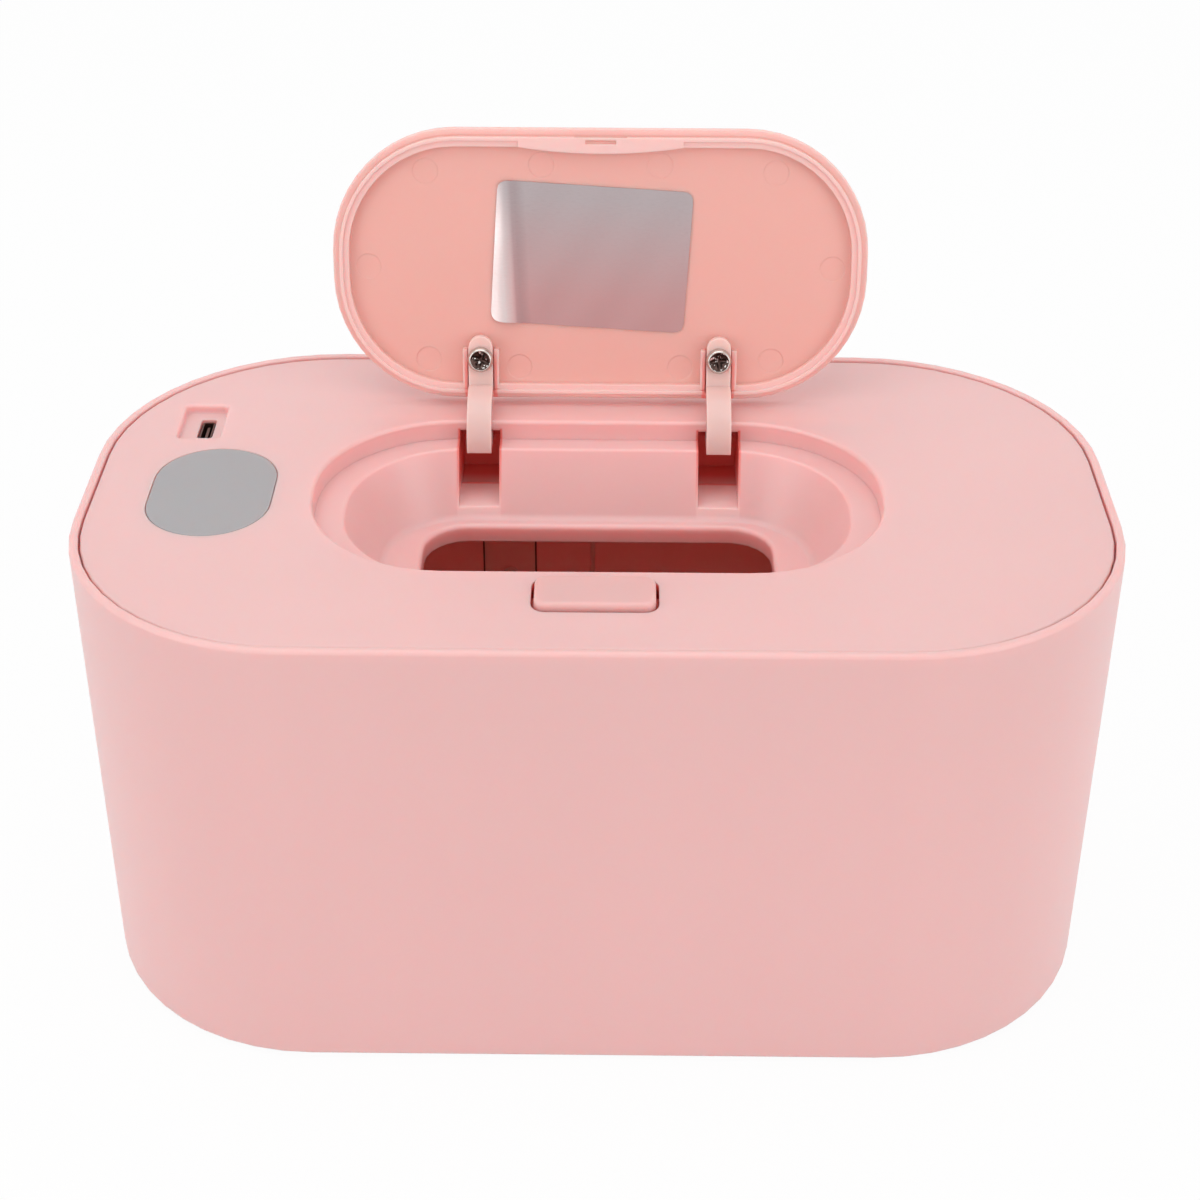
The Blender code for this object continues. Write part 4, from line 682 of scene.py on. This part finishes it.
def foil_painted_reflections(tree, place, tone):
    """The foil's painted reflections and shade: grey towards the lid's edge, a painted highlight along its
    blister, painted shade in the crease.
    """
    middle = (*label_middle, label_back_z)
    across = lid_way(tree, place, (math.cos(label_turn), math.sin(label_turn), 0.0), middle)
    down = lid_way(tree, place, (-math.sin(label_turn), math.cos(label_turn), 0.0), middle)
    from_left = add_node(tree, "Math", (across, label_half_length), operation="ADD")
    crest = share_inside(tree, (down, (-label_half_depth, label_half_depth), foil_crest))
    past = add_node(tree, "Math", (from_left, crest), operation="SUBTRACT")
    grey_reach = [share * label_half_depth for share in foil_grey_shares]
    bright_down = [share * label_half_depth for share in foil_bright_depth_shares]
    grey = share_inside(tree, (down, grey_reach))
    crease = share_inside(tree, (past, foil_crease_start), (past, foil_crease_end, foil_crease_shares))
    bright = share_inside(tree, (past, foil_bright_reach), (down, bright_down, foil_bright_shares))
    for share, shade in ((grey, foil_painted_grey_reflection), (crease, foil_painted_crease_shade), (bright, foil_painted_highlight)):
        tone = add_node(tree, "Mix", {0: share, 6: tone, 7: linear(shade)}, output=2, data_type="RGBA")
    return tone


def small_part(name, colour, roughness, speck):
    """A small moulded, printed or coated part: one colour broken by fine specks, with an uneven surface."""
    made, tree, place = new_material(name)
    spots = {"Vector": place, "Scale": 1 / speck, "Detail": speck_detail, "Roughness": noise_roughness}
    specks = add_node(tree, "TexNoise", spots)
    dark, light = [scaled(linear(colour), share) for share in speck_tone_shares]
    tone = add_node(tree, "Mix", {0: specks, 6: dark, 7: light}, output=2, data_type="RGBA")
    skin = {"Height": specks, "Strength": speck_strength, "Distance": speck_depth}
    surface = {"Base Color": tone, "Roughness": roughness, "Normal": add_node(tree, "Bump", skin)}
    add_node(tree, "OutputMaterial", (add_node(tree, "BsdfPrincipled", surface),))
    return made


def body_of(node):
    """The name of the CAD body that carries a node."""
    bodies = frame["record"]["behaviour"]["bodies"]
    return next(name for name, members in bodies.items() if node in members)


def bake_modifiers(piece):
    """Puts a piece's modifiers into its mesh."""
    bpy.context.view_layer.update()
    ready = piece.evaluated_get(bpy.context.evaluated_depsgraph_get())
    baked = bpy.data.meshes.new_from_object(ready)
    piece.modifiers.clear()
    piece.data = baked


def new_piece(name, mesh, *materials):
    """A piece in the scene, made of a mesh and its materials."""
    piece = bpy.data.objects.new(name, mesh)
    bpy.context.scene.collection.objects.link(piece)
    for material in materials:
        mesh.materials.append(material)
    return piece


def mesh_of(name, work):
    """Turns a worked shape into a mesh and lets the work go."""
    mesh = bpy.data.meshes.new(name)
    work.to_mesh(mesh)
    work.free()
    return mesh


def refine(node, name, material, ease=broken_edge):
    """A finished copy of a CAD node: true curves in its shading, and sharp edges broken as a moulding has."""
    work = bmesh.new()
    work.from_mesh(frame["nodes"][node].data)
    bmesh.ops.remove_doubles(work, verts=work.verts, dist=weld_reach)
    bmesh.ops.dissolve_limit(work, angle_limit=flat_angle, verts=work.verts, edges=work.edges)
    for face in work.faces:
        face.smooth = True
    made = new_piece(name, mesh_of(name, work), material)
    eased = made.modifiers.new("broken_edges", "BEVEL")
    eased.width = ease
    eased.segments = edge_segments
    eased.limit_method = "ANGLE"
    eased.angle_limit = edge_angle
    eased.harden_normals = False
    weighted = made.modifiers.new("true_shading", "WEIGHTED_NORMAL")
    weighted.mode = "FACE_AREA"
    weighted.weight = shading_weight
    weighted.keep_sharp = True
    bake_modifiers(made)
    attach(made, body_of(node))
    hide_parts(node)


def make_button_spring(node, name, material):
    """One of the two springs under the button, copied from its CAD node with smooth shading."""
    mesh = frame["nodes"][node].data.copy()
    mesh.materials.clear()
    for face in mesh.polygons:
        face.use_smooth = True
    spring = new_piece(name, mesh, material)
    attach(spring, body_of(node))
    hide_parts(node)
    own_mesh(spring)


def inside_rounded(x, y, half_x, half_y, radius):
    """Draws a point of a square grid in to the rounded corners of the sheet."""
    past_x = abs(x) - (half_x - radius)
    past_y = abs(y) - (half_y - radius)
    if past_x <= 0 or past_y <= 0:
        return x, y
    share = max(past_x, past_y) / math.hypot(past_x, past_y)
    return (
        math.copysign(half_x - radius + past_x * share, x),
        math.copysign(half_y - radius + past_y * share, y),
    )


def label_curl(from_left, low_share):
    """How far the sheet stands off the lid: a blister on its left edge, wider and higher at the bottom."""
    run = label_curl_run_top + (label_curl_run_low - label_curl_run_top) * low_share
    height = label_curl_top + (label_curl_low - label_curl_top) * low_share
    share = from_left / run
    if share >= 1.0:
        return 0.0
    if share <= label_curl_crest:
        return height * math.sin(0.5 * math.pi * share / label_curl_crest)
    return height * math.cos(0.5 * math.pi * (share - label_curl_crest) / (1.0 - label_curl_crest)) ** 2


def label_point(right_share, low_share):
    """A point of the label's sheet, by its share of the way to the right and to the bottom."""
    x = (2 * right_share - 1) * label_half_length
    y = (2 * low_share - 1) * label_half_depth
    x, y = inside_rounded(x, y, label_half_length, label_half_depth, label_corner)
    lift = label_curl(x + label_half_length, 0.5 + 0.5 * y / label_half_depth)
    swing = label_wave_across * x / label_half_length + label_wave_down * y / label_half_depth
    wave = label_wave * math.sin(swing) ** 2
    turned_x = x * math.cos(label_turn) - y * math.sin(label_turn)
    turned_y = x * math.sin(label_turn) + y * math.cos(label_turn)
    height = label_back_z - label_sheet - lift - wave
    return from_closed_lid((label_middle[0] + turned_x, label_middle[1] + turned_y, height))


def make_label(material):
    """The blank foil label: a thin sheet with rounded corners, whose left edge and lower corner stand up."""
    columns, rows = label_steps
    work = bmesh.new()
    grid = [
        [work.verts.new(label_point(column / columns, row / rows)) for column in range(columns + 1)]
        for row in range(rows + 1)
    ]
    for upper, lower in zip(grid, grid[1:]):
        for left in range(columns):
            corners = (upper[left], upper[left + 1], lower[left + 1], lower[left])
            work.faces.new(corners).smooth = True
    bmesh.ops.recalc_face_normals(work, faces=work.faces)
    sheet = new_piece("foil_sheet", mesh_of("foil_sheet", work), material)
    thick = sheet.modifiers.new("thickness", "SOLIDIFY")
    thick.thickness = label_sheet
    thick.offset = 0.0
    bake_modifiers(sheet)
    sheet.data.set_sharp_from_angle(angle=edge_angle)
    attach(sheet, "lid")
    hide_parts("foil_label")


def make_arm_screw(node, name, x, material, recess, turn):
    """A plated pan-head screw with a cross recess painted dark as shade and scattered with painted glints,
    seated on its arm.
    """
    work = bmesh.new()
    rings = []
    for radius_share, height_share, star_share in screw_rings:
        ring = []
        for side in range(screw_sides):
            angle = 2 * math.pi * side / screw_sides
            lobe = 1.0 - star_share * (0.5 - 0.5 * math.cos(screw_lobes * angle))
            radius = screw_head_radius * radius_share * lobe
            spot = (
                x + radius * math.cos(angle + turn),
                screw_y + radius * math.sin(angle + turn),
                screw_seat_z - screw_head_height * height_share,
            )
            ring.append(work.verts.new(from_closed_lid(spot)))
        rings.append(ring)
    for step, (low, high) in enumerate(zip(rings, rings[1:])):
        for side in range(screw_sides):
            after = (side + 1) % screw_sides
            face = work.faces.new((low[side], low[after], high[after], high[side]))
            face.smooth = True
            face.material_index = int(step >= screw_recess_ring)
    work.faces.new(rings[0])
    work.faces.new(list(reversed(rings[-1]))).material_index = 1
    bmesh.ops.recalc_face_normals(work, faces=work.faces)
    screw = new_piece(name, mesh_of(name, work), material, recess)
    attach(screw, "lid")
    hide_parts(node)


def paint(material, *nodes):
    """Gives a material to CAD nodes that keep their own shape."""
    for node in nodes:
        mesh = frame["nodes"][node].data
        mesh.materials.clear()
        mesh.materials.append(material)


def dress_mouldings():
    """The plastic pieces. A satin skin gives them soft highlights and no mirror images."""
    # Moulded ABS with a spark-eroded skin: satin pink outside; inside, a deeper, redder painted bounce light,
    # and painted shade lines at the steps of the back wall
    tub_painted_light = ((tub_inside_painted_bounce, pink_inside_painted_bounce), (wall_step_painted_shade, red_painted_step_shade))
    tub = moulded("pink_abs_tub", pink_body, body_roughness, tub_painted_light)
    refine("tub_housing", "tub_moulding", tub)

    # The same ABS, with painted bounce light, paler pink, in its well, on its land and on the pockets'
    # floors, and painted shade, dark red, in the depths of its pockets, slot and button hole
    panel_painted_light = (
        (land_painted_lid_bounce, pink_land_painted_bounce),
        (well_painted_bounce, pink_well_painted_bounce),
        (pocket_floor_painted_light, pink_pocket_floor_painted_light),
        (panel_hollows_painted_shade, red_painted_shade),
    )
    panel = moulded("pink_abs_panel", pink_body, body_roughness, panel_painted_light)
    refine("top_panel", "panel_moulding", panel)

    # The same ABS from another mould: the button is a shade greyer, with painted shade on the sides that fall
    # into the dark
    button = moulded("pink_abs_button", pink_button, button_roughness, ((button_sides_painted_shade, red_painted_shade),))
    refine("release_button", "button_cap", button)

    # Thin ABS, pink like the body outside: painted bounce light, which the skirt throws, makes the underside
    # peach, a painted highlight makes the skirt pale, and painted shade lies between the arms' ribs
    lid_painted_light = ((lid_underside_painted_bounce, pink_lid_painted_bounce), (lid_skirt_painted_highlight, pink_lid_skirt_painted_highlight), (arm_seats_painted_shade, red_painted_shade))
    lid = moulded("pink_abs_lid", pink_body, lid_roughness, lid_painted_light, reach=lid_glow_reach)
    refine("lid_shell", "lid_moulding", lid)

    # The same ABS facing the wipes, where no light falls straight: duller, and in the warmer tone of the
    # tub's painted bounce light
    cover = moulded("pink_abs_inner_cover", pink_inside_painted_bounce, inner_cover_roughness)
    refine("inner_cover", "inner_cover_moulding", cover)

    # Moulded acetal: milky cream with a waxy glow, and painted light at the tabs, lighter and pink with the
    # lid's colour
    tabs = ((arm_tabs_painted_light, arm_tab_painted_pink),)
    arms = moulded("cream_acetal_arms", arm_cream, arm_roughness, tabs, arm_edge, radius=arm_glow_radius)
    refine("hinge_arm_left", "left_gooseneck_arm", arms)
    refine("hinge_arm_right", "right_gooseneck_arm", arms)

    # The same acetal in the sliding and turning pieces inside: cream, with sharper edges
    slides = moulded("cream_acetal_slides", arm_cream, slide_roughness, edge=small_edge)
    paint(slides, "latch_slide", "spring_collar")

    # Tinted acrylic with a matt front: flat cool grey that hides the display behind it
    window = moulded(
        "grey_acrylic_window", window_grey, window_roughness, edge=small_edge, grain=window_grain_strength
    )
    refine("display_window", "window_plate", window, stamped_edge)


def dress_metals():
    """The metal pieces, from the bright screws to the soft silver of the label."""
    # Nickel-plated steel: bright and hard, with marks from tumbling
    steel = metal("nickel_plated_steel", steel_bright, *nickel_finish)

    # The screw's recess: steel painted dark as shade, with painted glints of bright steel
    recess = metal("steel_recess_in_painted_shade", steel_recess_painted_shade, *recess_finish, painted_light=recess_painted_glints)

    # Spring steel painted dark red-brown as shade, for the shaded red pockets it reflects, with a dull sheen
    shaded_spring_steel = metal("spring_steel_painted_shade", steel_painted_dark_shade, *spring_steel_finish)

    # A nickel shell drawn deep, painted dark as the shade inside the socket, with fine marks along one way
    shell = metal("nickel_shell_painted_shade", steel_inlet_painted_shade, *drawn_finish)

    # Brushed aluminium: pale, with marks along its length
    plate = metal("brushed_aluminium", aluminium_pale, *brushed_finish)

    # Rolled foil on paper: a soft silver painted pink as a reflection of the pink plastic, with broad marks
    # from rolling
    foil = metal("silver_foil", foil_painted_pink_reflection, *foil_finish, foil_mark_strength, foil_painted_reflections)

    refine("heat_plate", "heat_plate_stamping", plate, stamped_edge)
    refine("charging_socket", "inlet_shell", shell, shell_edge)
    make_button_spring("button_spring_left", "left_button_coil", steel)
    make_button_spring("button_spring_right", "right_button_coil", steel)
    make_label(foil)
    make_arm_screw("arm_screw_left", "left_pan_head", -arm_x, steel, recess, screw_turn_left)
    make_arm_screw("arm_screw_right", "right_pan_head", arm_x, steel, recess, screw_turn_right)
    paint(steel, "thermal_fuse", "board_screw_1", "board_screw_2")
    paint(steel, *["cover_screw_%d" % number for number in range(1, 9)])
    paint(shaded_spring_steel, "shaft_clip_left", "shaft_clip_right", "torsion_spring")
    paint(plate, "capacitor")


def dress_small_parts():
    """The small pieces inside and underneath: steel painted red, rubber, film, epoxy and silicone."""
    # Steel painted red as shade: an even satin red, which gives the back of the pockets their shaded red
    shaft = small_part("steel_shaft_painted_red_shade", shaft_painted_red_shade, *shaft_finish)
    paint(shaft, "hinge_shaft")

    # Moulded nitrile rubber: dark grey with a dry, dull skin
    rubber = small_part("nitrile_rubber_feet", foot_grey, *rubber_finish)
    paint(rubber, "base_foot_1", "base_foot_2", "base_foot_3", "base_foot_4")

    # Pressed polyimide film: amber with a soft gloss
    film = small_part("polyimide_heater_film", film_amber, *film_finish)
    paint(film, "heater_film")

    # Epoxy glass board under a printed mask: green, broken by fine specks
    board = small_part("epoxy_glass_board", board_green, *board_finish)
    paint(board, "control_board")

    # Moulded epoxy: black with a dull sheen
    black = small_part("moulded_epoxy", part_black, *epoxy_finish)
    paint(black, "display_module", "control_chip", "power_transistor", "thermistor")

    # Extruded silicone: red and nearly matt
    silicone = small_part("silicone_insulation", lead_red, *silicone_finish)
    paint(silicone, "heater_lead_live", "heater_lead_return", "sensor_lead")


def make_floor():
    """A wide white floor that stays white to the eye and keeps a soft shadow under the tub."""
    made, tree, place = new_material("white_studio_paper")
    pulp = {"Vector": place, "Scale": 1 / floor_fibre, "Detail": fine_detail, "Roughness": noise_roughness}
    fibres = add_node(tree, "TexNoise", pulp)
    tones = {0: fibres, 6: linear(paper_shade), 7: linear(paper_light)}
    tone = add_node(tree, "Mix", tones, output=2, data_type="RGBA")
    paper = add_node(tree, "BsdfPrincipled", {"Base Color": tone, "Roughness": floor_roughness})
    white = add_node(tree, "Emission", {"Color": linear(paper_white), "Strength": 1.0})
    eye = add_node(tree, "LightPath", output="Is Camera Ray")
    gloss = add_node(tree, "LightPath", output="Is Glossy Ray")
    eye = add_node(tree, "Math", (eye, floor_eye_share), operation="MULTIPLY")
    gloss = add_node(tree, "Math", (gloss, floor_gloss_share), operation="MULTIPLY")
    both = add_node(tree, "MixShader", (stronger(tree, eye, gloss), paper, white))
    add_node(tree, "OutputMaterial", (both,))
    work = bmesh.new()
    bmesh.ops.create_grid(work, x_segments=2, y_segments=2, size=floor_half_width)
    floor = new_piece("studio_floor", mesh_of("studio_floor", work), made)
    floor.location = (0.0, 0.0, -floor_drop)


def make_world():
    """A white room: plain white to the eye, and a little softer where it lights the object."""
    world = bpy.data.worlds.new("white_studio")
    world.use_nodes = True
    tree = world.node_tree
    tree.nodes.clear()
    eye = add_node(tree, "LightPath", output="Is Camera Ray")
    through = add_node(tree, "LightPath", output="Is Transmission Ray")
    gloss = add_node(tree, "LightPath", output="Is Glossy Ray")
    lit = share_inside(tree, (gloss, (0.0, 1.0), (room_light, room_shine)))
    seen = stronger(tree, eye, through)
    strength = add_node(tree, "Mix", {0: seen, 2: lit, 3: 1.0}, data_type="FLOAT")
    room = add_node(tree, "Background", {"Color": linear(paper_white), "Strength": strength})
    add_node(tree, "OutputWorld", (room,))
    bpy.context.scene.world = world


def make_softbox(name, place, target, width, height, power):
    """A rectangular lamp behind white cloth, turned to face the warmer."""
    light = bpy.data.lights.new(name, "AREA")
    light.shape = "RECTANGLE"
    light.size = width
    light.size_y = height
    light.energy = power
    lamp = bpy.data.objects.new(name, light)
    bpy.context.scene.collection.objects.link(lamp)
    lamp.location = place
    lamp.rotation_euler = (Vector(target) - Vector(place)).to_track_quat("-Z", "Y").to_euler()


def make_camera():
    """The camera at the photograph's place and angle."""
    flat = math.cos(camera_down)
    along = Vector((math.sin(camera_yaw) * flat, math.cos(camera_yaw) * flat, -math.sin(camera_down)))
    right = Vector((math.cos(camera_yaw), -math.sin(camera_yaw), 0.0))
    up = right.cross(along)
    turned_right = math.cos(camera_roll) * right + math.sin(camera_roll) * up
    turned_up = -math.sin(camera_roll) * right + math.cos(camera_roll) * up
    place = Matrix((turned_right, turned_up, -along)).transposed().to_4x4()
    place.translation = Vector(camera_place_mm) * MM
    lens = bpy.data.cameras.new("studio_camera")
    lens.sensor_width = camera_sensor
    lens.lens = camera_lens
    lens.clip_start = camera_nearest
    camera = bpy.data.objects.new("studio_camera", lens)
    bpy.context.scene.collection.objects.link(camera)
    camera.matrix_world = place
    bpy.context.scene.camera = camera


def main():
    """Builds the studio and the warmer."""
    make_camera()
    dress_mouldings()
    dress_metals()
    dress_small_parts()
    make_floor()
    make_world()
    for softbox in softboxes:
        make_softbox(*softbox)
    bpy.context.scene.view_settings.view_transform = "Standard"


main()
